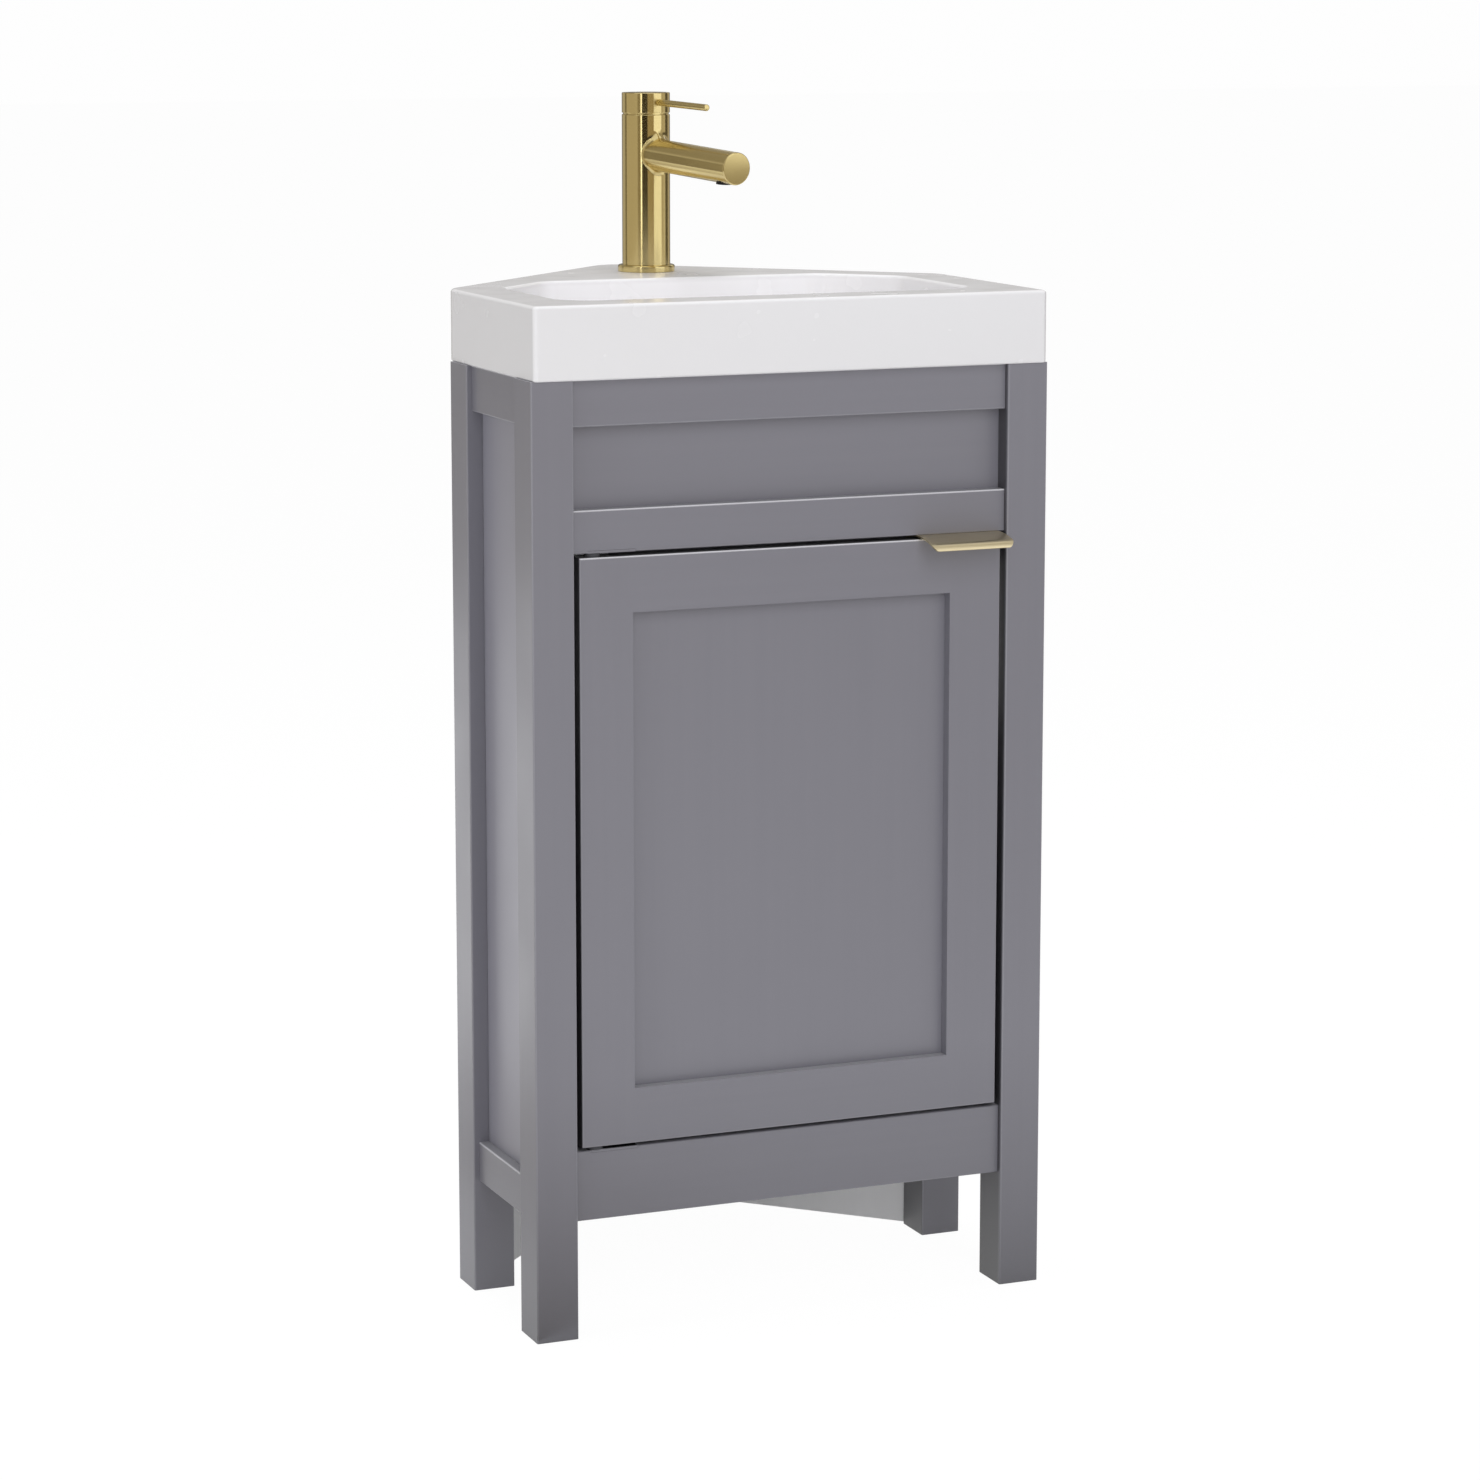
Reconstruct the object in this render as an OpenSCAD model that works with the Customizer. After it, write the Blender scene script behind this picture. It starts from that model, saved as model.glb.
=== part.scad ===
// Corner vanity unit: a framed floor cabinet that stands in the corner of a room,
// with a five-sided basin on top, a pillar mixer tap and one inset door.
// Millimetres, +Z up. The door faces -Y and the two walls meet behind, on +Y.
// The origin lies on the floor, in the middle of the overall width and depth.

/* [Cabinet] */
// Width over the outside of the posts
body_width = 456; // [430:2:500]
// Depth of the sides, from the front posts' face to the rear posts' back
side_depth = 196; // [180:2:230]
// Height of the cabinet, up to the underside of the basin
cabinet_height = 790; // [740:5:830]
// Width of a post, seen from the front
post_width = 36; // [32:1:42]
// Depth of a post, seen from the side
post_depth = 40; // [34:1:46]
// Radius of the eased edges of the timber
edge_round = 1.2; // [0.6:0.1:2]

/* [Front frame] */
// Height of the floor gap under the bottom rail
leg_height = 98; // [80:1:130]
// Height of the bottom rail
bottom_rail_height = 59; // [50:1:70]
// Height of the middle rail, between the door and the false drawer front
middle_rail_height = 35; // [30:1:45]
// Height of the false drawer front that shows between the rails
drawer_height = 67; // [55:1:85]
// Height of the top rail
top_rail_height = 38; // [30:1:50]
// How far the rails lie behind the face of the posts
rail_setback = 6; // [3:0.5:9]
// Thickness of the front rails
rail_thickness = 24; // [22:1:26]
// How far the false drawer front lies behind the rails
drawer_recess = 12; // [9:0.5:13]

/* [Sides and back] */
// Thickness of the thin panels that sit in grooves
infill_thickness = 6; // [4:0.5:7]
// How far the side rails lie behind the outer face of the posts
side_rail_setback = 5; // [3:0.5:7]
// Thickness of the side rails
side_rail_thickness = 22; // [20:1:24]
// How far the side panels lie behind the outer face of the posts
side_panel_setback = 14; // [12:0.5:15]
// Height of the side rails under the basin
side_top_rail_height = 38; // [30:1:50]
// Height of the side rails near the floor
side_bottom_rail_height = 34; // [30:1:40]
// Height of the gap under the side rails
side_leg_height = 96; // [85:1:110]
// Thickness of the back panels
back_thickness = 16; // [12:1:18]
// Space between the back panels and the walls
back_gap = 12; // [10:1:16]
// Lift of the back panels off the floor
back_lift = 1; // [1:0.5:4]
// Width of the corner batten
batten_width = 25; // [20:1:28]
// Diameter of the wall screw holes
wall_hole_diameter = 6; // [5:0.5:8]
// Height of the wall screws over the floor
wall_hole_height = 720; // [690:5:725]
// Length of the pipe cut-out in each back panel
service_length = 130; // [110:5:140]
// Height of the pipe cut-out
service_height = 150; // [120:5:170]
// Height of the lower edge of the pipe cut-out
service_bottom = 440; // [430:5:460]
// Corner radius of the pipe cut-out
service_radius = 20; // [10:1:30]

/* [Floor and shelf] */
// Thickness of the cabinet floor and of the shelf
board_thickness = 16; // [12:1:18]
// Height of the shelf's upper face
shelf_height = 400; // [380:5:410]
// How far the shelf's front edge lies behind the face of the posts
shelf_setback = 60; // [50:1:80]
// Play round the loose shelf
shelf_play = 2; // [1:0.5:4]
// Width of the battens that carry the floor
cleat_width = 14; // [12:1:16]
// Height of the battens that carry the shelf
shelf_cleat_height = 18; // [14:1:24]

/* [Door] */
// Gap between the door and a post
door_side_gap = 5; // [4.5:0.1:6]
// Gap over the door
door_top_gap = 3; // [2.8:0.1:4]
// Gap under the door
door_bottom_gap = 3.5; // [3:0.1:5]
// How far the door's face lies behind the face of the posts
door_setback = 2; // [1:0.5:3]
// Thickness of the door's frame
door_thickness = 22; // [20:0.5:23]
// Width of the door's frame
door_frame_width = 46; // [42:1:60]
// How far the door's panel lies behind its frame
door_recess = 10; // [7:0.5:11]
// Distance of the pivot from the door's hinged edge
pivot_inset = 14; // [13:0.5:18]
// Distance of the pivot from the door's face
pivot_depth = 9; // [8:0.5:10]
// Diameter of the pivot pins
pivot_diameter = 6; // [4:0.5:7]
// Depth of a pivot bush in the door's edge
bush_depth = 14; // [10:1:20]
// Length of a pivot plate
plate_length = 44; // [38:1:60]
// Width of a pivot plate
plate_width = 14; // [12:0.5:15]
// Thickness of a pivot plate
plate_thickness = 2; // [1.5:0.5:3]

/* [Handle] */
// Length of the handle along the door's top edge
handle_length = 75; // [60:1:110]
// How far the handle stands out from the door
handle_reach = 28; // [20:1:34]
// How far the handle's lip hangs under the door's top edge
handle_drop = 9; // [6:0.5:12]
// Thickness of the handle's sheet
handle_sheet = 1.6; // [1:0.1:2]
// Height of the tab that is screwed to the back of the door
handle_tab = 26; // [22:1:34]
// Radius of the handle's front corners
handle_corner = 4; // [2:0.5:8]

/* [Basin] */
// Height of the basin's rim
rim_height = 60; // [50:1:80]
// How far the basin stands over the front posts
basin_front = 3; // [0:0.5:6]
// How far the basin's sides lie inside the posts
basin_side_inset = 2; // [0:0.5:4]
// How far the basin's sides run past the rear posts
basin_back = 9; // [7:0.5:14]
// Thickness of the rim's wall
rim_wall = 16; // [12:1:18]
// Thickness of the top where the tap stands
deck_thickness = 14; // [10:1:18]
// Radius of the rim's upper edge
rim_round = 4; // [2:0.5:6]
// Radius of the basin's front corners
front_corner = 7; // [6:0.5:12]
// Radius of the corners between the sides and the walls
side_corner = 26; // [15:1:40]
// Radius of the corner that points into the room's corner
back_corner = 26; // [15:1:40]
// Width of the ledge in front of the bowl
front_ledge = 43; // [42:1:60]
// Width of the ledge beside the bowl
side_ledge = 44; // [40:1:60]
// Width of the ledge between the bowl and the walls
wall_ledge = 40; // [36:1:50]
// Length of the bowl from front to back
bowl_length = 208; // [180:1:215]
// Depth of the bowl
bowl_depth = 92; // [80:1:110]
// Thickness of the bowl's wall
bowl_wall = 8; // [6:0.5:9]
// Corner radius of the bowl's mouth
bowl_corner = 28; // [20:1:40]
// Radius between the bowl's wall and its floor
bowl_round = 34; // [20:1:45]
// Slope of the bowl's wall
bowl_draft = 7; // [4:0.5:12]
// Distance of the waste from the bowl's front edge
waste_place = 100; // [90:1:115]

/* [Waste] */
// Outer diameter of the waste's tail, for a 1 1/4 inch nut
tail_diameter = 41.9; // [41:0.1:43]
// Length of the waste's tail under the bowl
tail_length = 75; // [60:1:90]
// Diameter of the waste's flange in the bowl
flange_diameter = 64; // [60:1:70]
// Diameter of the plug's dome
plug_diameter = 56; // [50:1:58]
// Travel of the push plug
plug_travel = 7; // [5:0.5:9]

/* [Tap] */
// Diameter of the tap's body
tap_diameter = 42; // [38:1:46]
// Height of the tap
tap_height = 155.5; // [140:0.5:180]
// Distance of the tap's axis from the bowl's back edge
tap_place = 82; // [75:1:90]
// Turn of the tap from straight ahead
tap_turn = 12; // [-30:1:30]
// Diameter of the ring under the tap
base_ring_diameter = 50; // [48:1:56]
// Height of the ring under the tap
base_ring_height = 6; // [4:0.5:9]
// Height of the lever's cap
cap_height = 17.5; // [16.5:0.5:24]
// Gap between the cap and the body
cap_gap = 1.3; // [1:0.1:2]
// Diameter of the spout
spout_diameter = 28; // [24:0.5:32]
// Distance from the tap's axis to the end of the spout
spout_reach = 140; // [110:1:160]
// Height of the spout's axis over the basin, at the tap's axis
spout_height = 103; // [85:1:106]
// Slope of the spout
spout_fall = 3.5; // [0:0.5:8]
// Distance of the outlet from the end of the spout
outlet_place = 18; // [16:1:30]
// Diameter of the lever's pin
pin_diameter = 5.8; // [5:0.1:8]
// Distance from the tap's axis to the tip of the pin
pin_reach = 95; // [70:1:110]
// Height of the pin over the cap's lower edge
pin_place = 10; // [9:0.5:12]
// Slope of the pin
pin_fall = 2; // [0:0.5:4]
// Angle that the lever lifts
lever_lift = 20; // [10:1:22]

/* [Hidden] */
$fn = 64;
root_two = sqrt(2);

// Timber joints: a tenon in its mortise and a panel in its groove
tenon_length = 12;
tenon_thickness = 8;
tenon_shoulder = 6;
joint_play = 0.2;
groove_depth = 6;
groove_play = 0.5;
overcut = 1;
floor_cleat_lift = 8;
batten_top_gap = 4;

// Places in the cabinet, measured from the face of the front posts
outside = body_width / 2;
inside = outside - post_width;
rear_post_y = side_depth - post_depth;
rail_back = rail_setback + rail_thickness;
bottom_rail_top = leg_height + bottom_rail_height;
top_rail_bottom = cabinet_height - top_rail_height;
drawer_bottom = top_rail_bottom - drawer_height;
middle_rail_bottom = drawer_bottom - middle_rail_height;
drawer_face = rail_setback + drawer_recess;
side_rail_outside = outside - side_rail_setback;
side_rail_inside = side_rail_outside - side_rail_thickness;
side_panel_outside = outside - side_panel_setback;
side_panel_inside = side_panel_outside - infill_thickness;
side_rail_top = side_leg_height + side_bottom_rail_height;
side_top_rail_bottom = cabinet_height - side_top_rail_height;
floor_bottom = bottom_rail_top - board_thickness;
shelf_bottom = shelf_height - board_thickness;

// Basin outline and the walls, which run at 45 degrees where |x| + y is wall_sum
basin_half = outside - basin_side_inset;
basin_side_end = side_depth + basin_back;
wall_sum = basin_half + basin_side_end;
rim_top = cabinet_height + rim_height;
basin_points = [[-basin_half, -basin_front], [basin_half, -basin_front],
                [basin_half, basin_side_end], [0, wall_sum], [-basin_half, basin_side_end]];
basin_radii = [front_corner, front_corner, side_corner, back_corner, side_corner];
back_outer_sum = wall_sum - back_gap * root_two;
back_inner_sum = back_outer_sum - back_thickness * root_two;
bowl_front = front_ledge - basin_front;
bowl_back = bowl_front + bowl_length;
bowl_half = basin_half - side_ledge;
bowl_sum = wall_sum - wall_ledge * root_two;
bowl_points = [[-bowl_half, bowl_front], [bowl_half, bowl_front],
               [bowl_half, bowl_sum - bowl_half], [bowl_sum - bowl_back, bowl_back],
               [bowl_back - bowl_sum, bowl_back], [-bowl_half, bowl_sum - bowl_half]];
bowl_radii = [for (p = bowl_points) bowl_corner];
bowl_floor = rim_top - bowl_depth;
smallest_radius = 2;
foot_chamfer = 1;
round_steps = 6;
bowl_steps = 12;
mouth_round = 3;
mouth_steps = 4;
mouth_overlap = 0.3;

// Door and its pivots
door_half = inside - door_side_gap;
door_bottom = bottom_rail_top + door_bottom_gap;
door_top = middle_rail_bottom - door_top_gap;
door_back = door_setback + door_thickness;
door_panel_face = door_setback + door_recess;
pivot_x = -door_half + pivot_inset;
pivot_y = door_setback + pivot_depth;
pivot_play = 0.05;
bush_wall = 2;
bush_radius = pivot_diameter / 2 + bush_wall;
bush_flange = bush_radius + 1.5;
washer_play = 0.3;
pin_length = bush_depth - 2;
stop_gap = 2.5;
stop_width = 12;
stop_height = 16;
stop_start = pivot_x + 25;
bumper_radius = 4;
bumper_play = 0.3;
catch_size = [40, 18, 12];
catch_inset = 87;
catch_plate = [32, 1, 12];
catch_play = 0.3;
catch_plate_lift = 1;
bumper_inset = 20;
screw_radius = 1.75;
screw_play = 0.2;
screw_head_radius = 3.4;
screw_head_height = 1.8;
screw_length = 14;
screw_tip = 3;
screw_tip_radius = 0.4;
cross_reach = 1.9;
cross_half_width = 0.4;
cross_depth = 0.9;
plate_screw_places = [16, 28];
plate_overlap = 8;
handle_screw_drop = 20;
handle_screw_inset = 18;

// Tap and waste
tap_y = bowl_back + tap_place;
tap_radius = tap_diameter / 2;
cap_bottom = tap_height - cap_height;
body_top = cap_bottom - cap_gap;
tilt_height = body_top - 18;
cap_sphere = norm([tap_radius, cap_bottom - tilt_height]);
dome_play = 0.6;
dome_sphere = cap_sphere - dome_play;
stem_radius = 4;
stem_half_depth = 2.8;
dome_hole = dome_sphere * sin(lever_lift) + stem_radius + 1;
pocket_radius = tap_radius - 2.5;
pocket_depth = 48;
pocket_bottom = body_top - pocket_depth;
bonnet_height = 8;
cartridge_radius = pocket_radius - 0.5;
cartridge_height = pocket_depth - bonnet_height;
collar_radius = 11;
collar_height = 14;
collar_bottom = tilt_height - 8;
hinge_radius = 1.5;
stem_bottom = tilt_height - 5;
stem_top = cap_bottom + 14;
stem_slot = 2 * stem_radius + 5;
shank_radius = 16;
shank_length = 46;
tap_hole_radius = 17.5;
inlet_radius = 4.5;
inlet_depth = 14;
inlet_offset = 7.5;
nut_radius = 25;
nut_height = 9;
seal_thickness = 2;
outlet_radius = 8;
outlet_length = 5;
outlet_show = 1.2;
ring_chamfer = 1.5;
brass_edge = 0.6;
spout_edge = 1;
spigot_radius = inlet_offset + inlet_radius + 1.9;
waste_y = bowl_front + waste_place;
waste_hole_radius = 22.5;
tail_radius = tail_diameter / 2;
tail_bore = tail_radius - 3;
neck_radius = tail_radius + 0.5;
flange_thickness = 2.5;
plug_gap = 0.6;
plug_rise = 6;
plug_edge = 0.6;
plug_stem_radius = 4;
stem_tail = 4;
waste_nut_radius = 29;
waste_nut_height = 8;
neck_length = bowl_wall + seal_thickness + waste_nut_height + 2;
flange_taper = 2;
bridge_height = 6;
bridge_width = 6;
bridge_boss = 2.5;
bridge_bottom = -plug_travel - 2 * bridge_height;

// The whole outline reaches from the handle's lip to the basin's back corner
outline_front = door_setback - handle_reach;
outline_back = wall_sum - back_corner * (root_two - 1);
front_y = -(outline_front + outline_back) / 2;

paint = [0.46, 0.46, 0.49];
raw_board = [0.74, 0.74, 0.75];
brass = [0.72, 0.61, 0.36];
white = [0.94, 0.94, 0.95];
steel = [0.7, 0.7, 0.72];
dark_steel = [0.1, 0.1, 0.11];
nylon = [0.06, 0.06, 0.065];
rubber = [0.15, 0.15, 0.16];

// ---------- helpers ----------

// Moves a piece that is drawn from the face of the front posts into the part's frame
module placed() {
    translate([0, front_y, 0])
        children();
}

// Draws a left-hand piece, or its mirror image for the right
module handed(side) {
    if (side > 0) mirror([1, 0, 0]) children();
    else children();
}

// Box between two corners
module block(low, high) {
    translate(low)
        cube(high - low);
}

// Outline of a rectangle with small arcs at its corners
function eased_outline(width, height, r, steps = 3) =
    [for (corner = [0:3], step = [0:steps])
        let (turn = 180 + 90 * corner + 90 * step / steps,
             x = corner == 1 || corner == 2 ? width - r : r,
             y = corner > 1 ? height - r : r)
        [x + r * cos(turn), y + r * sin(turn)]];

// Timber bar between two corners, with the four edges along one axis eased.
// The axis is 0 for X, 1 for Y and 2 for Z.
module bar(low, high, axis) {
    size = high - low;
    translate(low) {
        if (axis == 0)
            rotate([90, 0, 90])
                linear_extrude(size[0])
                    polygon(eased_outline(size[1], size[2], edge_round));
        if (axis == 1)
            translate([0, size[1], 0])
                rotate([90, 0, 0])
                    linear_extrude(size[1])
                        polygon(eased_outline(size[0], size[2], edge_round));
        if (axis == 2)
            linear_extrude(size[2])
                polygon(eased_outline(size[0], size[1], edge_round));
    }
}

function unit(v) = v / norm(v);
function left_of(v) = [-v[1], v[0]];

// Corner of a convex outline after its sides have moved inwards
function inset_corner(points, i, distance) =
    let (count = len(points),
         before = left_of(unit(points[i] - points[(i + count - 1) % count])),
         after = left_of(unit(points[(i + 1) % count] - points[i])))
    points[i] + distance * (before + after) / (1 + before * after);

// A convex outline, moved inwards by an inset, with each corner as an arc
function rounded_outline(points, radii, inset, steps = 8) =
    let (count = len(points))
    [for (i = [0:count - 1])
        let (r = max(radii[i] - inset, smallest_radius),
             centre = inset_corner(points, i, inset + r),
             along = unit(points[i] - points[(i + count - 1) % count]),
             leaving = unit(points[(i + 1) % count] - points[i]),
             start = atan2(-along[0], along[1]),
             turn = acos(along * leaving))
        for (step = [0:steps])
            centre + r * [cos(start + turn * step / steps), sin(start + turn * step / steps)]];

// Solid through outlines with equal numbers of points, given as [outline, height] from below
module loft(levels) {
    count = len(levels[0][0]);
    last = len(levels) - 1;
    sides = [for (j = [0:last - 1], i = [0:count - 1])
        let (next = (i + 1) % count)
        [j * count + i, (j + 1) * count + i, (j + 1) * count + next, j * count + next]];
    polyhedron(
        points = [for (entry = levels, p = entry[0]) [p[0], p[1], entry[1]]],
        faces = concat([[for (i = [0:count - 1]) i]], sides,
                       [[for (i = [count - 1:-1:0]) last * count + i]]));
}

// Plan of what fits between the sides and the back panels, less some play.
// It is cut round the posts and stops short of the corner.
module inner_plan(front, play, corner_cut) {
    sum = back_inner_sum - play * root_two;
    wide = side_rail_inside - play;
    narrow = inside - play;
    at_front = front < post_depth
        ? [[narrow, front], [narrow, post_depth + play], [wide, post_depth + play]]
        : [[wide, front]];
    half = concat(at_front,
                  [[wide, rear_post_y - play], [narrow, rear_post_y - play],
                   [narrow, sum - narrow], [sum - corner_cut, corner_cut]]);
    polygon(concat(half, [for (i = [len(half) - 1:-1:0]) [-half[i][0], half[i][1]]]));
}

// ---------- posts and rails ----------

// Mortise for a rail's tenon, cut into the inner face of a left post
module front_mortise(bottom, height) {
    middle = rail_setback + rail_thickness / 2;
    block([-inside - tenon_length - joint_play,
           middle - tenon_thickness / 2 - joint_play, bottom + tenon_shoulder - joint_play],
          [-inside + 1,
           middle + tenon_thickness / 2 + joint_play, bottom + height - tenon_shoulder + joint_play]);
}

// Mortise for a side rail's tenon, cut into a left post from one of its faces
module side_mortise(y, way, bottom, height) {
    middle = -(side_rail_outside + side_rail_inside) / 2;
    deep = tenon_length + joint_play;
    block([middle - tenon_thickness / 2 - joint_play, way > 0 ? y - 1 : y - deep,
           bottom + tenon_shoulder - joint_play],
          [middle + tenon_thickness / 2 + joint_play, way > 0 ? y + deep : y + 1,
           bottom + height - tenon_shoulder + joint_play]);
}

// Both side mortises and the groove for the side panel
module side_cuts(y, way) {
    side_mortise(y, way, side_leg_height, side_bottom_rail_height);
    side_mortise(y, way, side_top_rail_bottom, side_top_rail_height);
    block([-side_panel_outside - joint_play, way > 0 ? y - 1 : y - groove_depth,
           side_rail_top - groove_depth],
          [-side_panel_inside + joint_play, way > 0 ? y + groove_depth : y + 1,
           side_top_rail_bottom + groove_depth]);
}

module front_post(side) {
    color(paint) placed() handed(side) difference() {
        bar([-outside, 0, 0], [-inside, post_depth, cabinet_height], 2);
        front_mortise(leg_height, bottom_rail_height);
        front_mortise(middle_rail_bottom, middle_rail_height);
        front_mortise(top_rail_bottom, top_rail_height);
        side_cuts(post_depth, -1);
        // groove for the false drawer front
        block([-inside - groove_depth, drawer_face - joint_play, drawer_bottom - groove_depth],
              [-inside + 1, drawer_face + infill_thickness + joint_play,
               top_rail_bottom + groove_depth]);
    }
}

module rear_post(side) {
    color(paint) placed() handed(side) difference() {
        bar([-outside, rear_post_y, 0], [-inside, side_depth, cabinet_height], 2);
        side_cuts(rear_post_y, 1);
    }
}

module front_post_left() { front_post(-1); }
module front_post_right() { front_post(1); }
module rear_post_left() { rear_post(-1); }
module rear_post_right() { rear_post(1); }

// Front rail with a stub tenon at each end
module front_rail(bottom, height) {
    middle = rail_setback + rail_thickness / 2;
    bar([-inside, rail_setback, bottom], [inside, rail_back, bottom + height], 0);
    block([-inside - tenon_length, middle - tenon_thickness / 2, bottom + tenon_shoulder],
          [inside + tenon_length, middle + tenon_thickness / 2, bottom + height - tenon_shoulder]);
}

// Groove along a front rail for the false drawer front
module drawer_groove(edge, way) {
    block([-inside - 1, drawer_face - joint_play, way > 0 ? edge - 1 : edge - groove_depth],
          [inside + 1, drawer_face + infill_thickness + joint_play,
           way > 0 ? edge + groove_depth : edge + 1]);
}

module top_rail() {
    color(paint) placed() difference() {
        front_rail(top_rail_bottom, top_rail_height);
        drawer_groove(top_rail_bottom, 1);
    }
}

module middle_rail() {
    color(paint) placed() difference() {
        front_rail(middle_rail_bottom, middle_rail_height);
        drawer_groove(drawer_bottom, -1);
        plate_shape(middle_rail_bottom - 1, plate_thickness + 1 + joint_play, joint_play);
        plate_screw_holes(middle_rail_bottom, 1);
    }
}

module bottom_rail() {
    color(paint) placed() difference() {
        front_rail(leg_height, bottom_rail_height);
        plate_shape(bottom_rail_top - plate_thickness - joint_play,
                    plate_thickness + 1 + joint_play, joint_play);
        plate_screw_holes(bottom_rail_top, -1);
    }
}

module drawer_panel() {
    reach = groove_depth - groove_play;
    color(paint) placed()
        block([-inside - reach, drawer_face, drawer_bottom - reach],
              [inside + reach, drawer_face + infill_thickness, top_rail_bottom + reach]);
}

// Side rail with a tenon in each post and a groove for the panel
module side_rail(bottom, height, groove_edge, way) {
    middle = -(side_rail_outside + side_rail_inside) / 2;
    difference() {
        union() {
            bar([-side_rail_outside, post_depth, bottom],
                [-side_rail_inside, rear_post_y, bottom + height], 1);
            block([middle - tenon_thickness / 2, post_depth - tenon_length, bottom + tenon_shoulder],
                  [middle + tenon_thickness / 2, rear_post_y + tenon_length,
                   bottom + height - tenon_shoulder]);
        }
        block([-side_panel_outside - joint_play, post_depth - tenon_length - 1,
               way > 0 ? groove_edge - 1 : groove_edge - groove_depth],
              [-side_panel_inside + joint_play, rear_post_y + tenon_length + 1,
               way > 0 ? groove_edge + groove_depth : groove_edge + 1]);
    }
}

module side_top_rail(side) {
    color(paint) placed() handed(side)
        side_rail(side_top_rail_bottom, side_top_rail_height, side_top_rail_bottom, 1);
}

module side_bottom_rail(side) {
    color(paint) placed() handed(side)
        side_rail(side_leg_height, side_bottom_rail_height, side_rail_top, -1);
}

module side_top_rail_left() { side_top_rail(-1); }
module side_top_rail_right() { side_top_rail(1); }
module side_bottom_rail_left() { side_bottom_rail(-1); }
module side_bottom_rail_right() { side_bottom_rail(1); }

module side_panel(side) {
    reach = groove_depth - groove_play;
    color(paint) placed() handed(side)
        block([-side_panel_outside, post_depth - reach, side_rail_top - reach],
              [-side_panel_inside, rear_post_y + reach, side_top_rail_bottom + reach]);
}

module side_panel_left() { side_panel(-1); }
module side_panel_right() { side_panel(1); }

// ---------- back ----------

// Plan of the left back panel, from the rear post to the room's corner
module back_plan() {
    polygon([[side_depth - back_outer_sum, side_depth], [side_depth - back_inner_sum, side_depth],
             [0, back_inner_sum], [0, back_outer_sum]]);
}

// Turns shapes drawn along X to lie along the left back panel, centred on its length
module along_back() {
    middle = (side_depth - back_inner_sum) / 2;
    translate([middle, back_inner_sum + middle, 0])
        rotate([0, 0, 45])
            children();
}

module back_panel(side) {
    half = service_length / 2;
    color(raw_board) placed() handed(side) difference() {
        translate([0, 0, back_lift])
            linear_extrude(cabinet_height - back_lift)
                back_plan();
        // rounded cut-out for the pipes
        along_back()
            translate([0, 2 * back_thickness, 0])
                rotate([90, 0, 0])
                    translate([-half, service_bottom, 0])
                        linear_extrude(4 * back_thickness)
                            polygon(eased_outline(service_length, service_height, service_radius, 8));
        along_back()
            translate([0, 2 * back_thickness, wall_hole_height])
                rotate([90, 0, 0])
                    cylinder(d = wall_hole_diameter, h = 4 * back_thickness);
    }
}

module back_panel_left() { back_panel(-1); }
module back_panel_right() { back_panel(1); }

module corner_batten() {
    color(raw_board) placed()
        translate([0, back_inner_sum - batten_width * root_two, bottom_rail_top])
            rotate([0, 0, 45])
                cube([batten_width, batten_width, cabinet_height - bottom_rail_top - batten_top_gap]);
}

// ---------- floor, shelf and door stop ----------

module floor_panel() {
    color(raw_board) placed()
        translate([0, 0, floor_bottom])
            linear_extrude(board_thickness)
                inner_plan(rail_back, 0, back_inner_sum - 1);
}

module floor_cleats() {
    color(raw_board) placed()
        for (side = [-1, 1])
            handed(side)
                block([-side_rail_inside, post_depth, side_leg_height + floor_cleat_lift],
                      [-side_rail_inside + cleat_width, rear_post_y, floor_bottom]);
}

module shelf() {
    color(raw_board) placed()
        translate([0, 0, shelf_bottom])
            linear_extrude(board_thickness)
                inner_plan(shelf_setback, shelf_play,
                           back_inner_sum - batten_width * root_two - shelf_play);
}

module shelf_cleats() {
    color(raw_board) placed()
        for (side = [-1, 1])
            handed(side)
                block([-side_panel_inside, post_depth, shelf_bottom - shelf_cleat_height],
                      [-inside, rear_post_y, shelf_bottom]);
}

module door_stop() {
    color(paint) placed()
        bar([stop_start, door_back + stop_gap, middle_rail_bottom - stop_height],
            [inside, door_back + stop_gap + stop_width, middle_rail_bottom], 0);
}

module door_bumpers() {
    color(rubber) placed()
        for (x = [stop_start + bumper_inset, door_half - handle_length - bumper_inset])
            translate([x, door_back + stop_gap, middle_rail_bottom - stop_height / 2 - door_top_gap / 2])
                rotate([90, 0, 0])
                    cylinder(r = bumper_radius, h = stop_gap - bumper_play);
}

module catch_magnet() {
    color(steel) placed()
        translate([door_half - catch_inset, door_back + catch_plate[1] + catch_play, bottom_rail_top])
            cube(catch_size);
}

module catch_plate() {
    middle = door_half - catch_inset + catch_size[0] / 2;
    color(steel) placed()
        translate([middle - catch_plate[0] / 2, door_back, door_bottom + catch_plate_lift])
            cube(catch_plate);
}

// ---------- pivots ----------

// A pivot plate's outline: round at the pivot, square at the other end
module plate_shape(z, thickness, play) {
    translate([pivot_x, pivot_y, z])
        linear_extrude(thickness) {
            circle(r = plate_width / 2 + play);
            translate([0, -plate_width / 2 - play])
                square([plate_length - plate_overlap + play, plate_width + 2 * play]);
        }
}

module plate_screw_holes(z, way) {
    for (place = plate_screw_places)
        translate([pivot_x + place, pivot_y, way > 0 ? z : z - screw_length])
            cylinder(r = screw_radius, h = screw_length);
}

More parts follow.
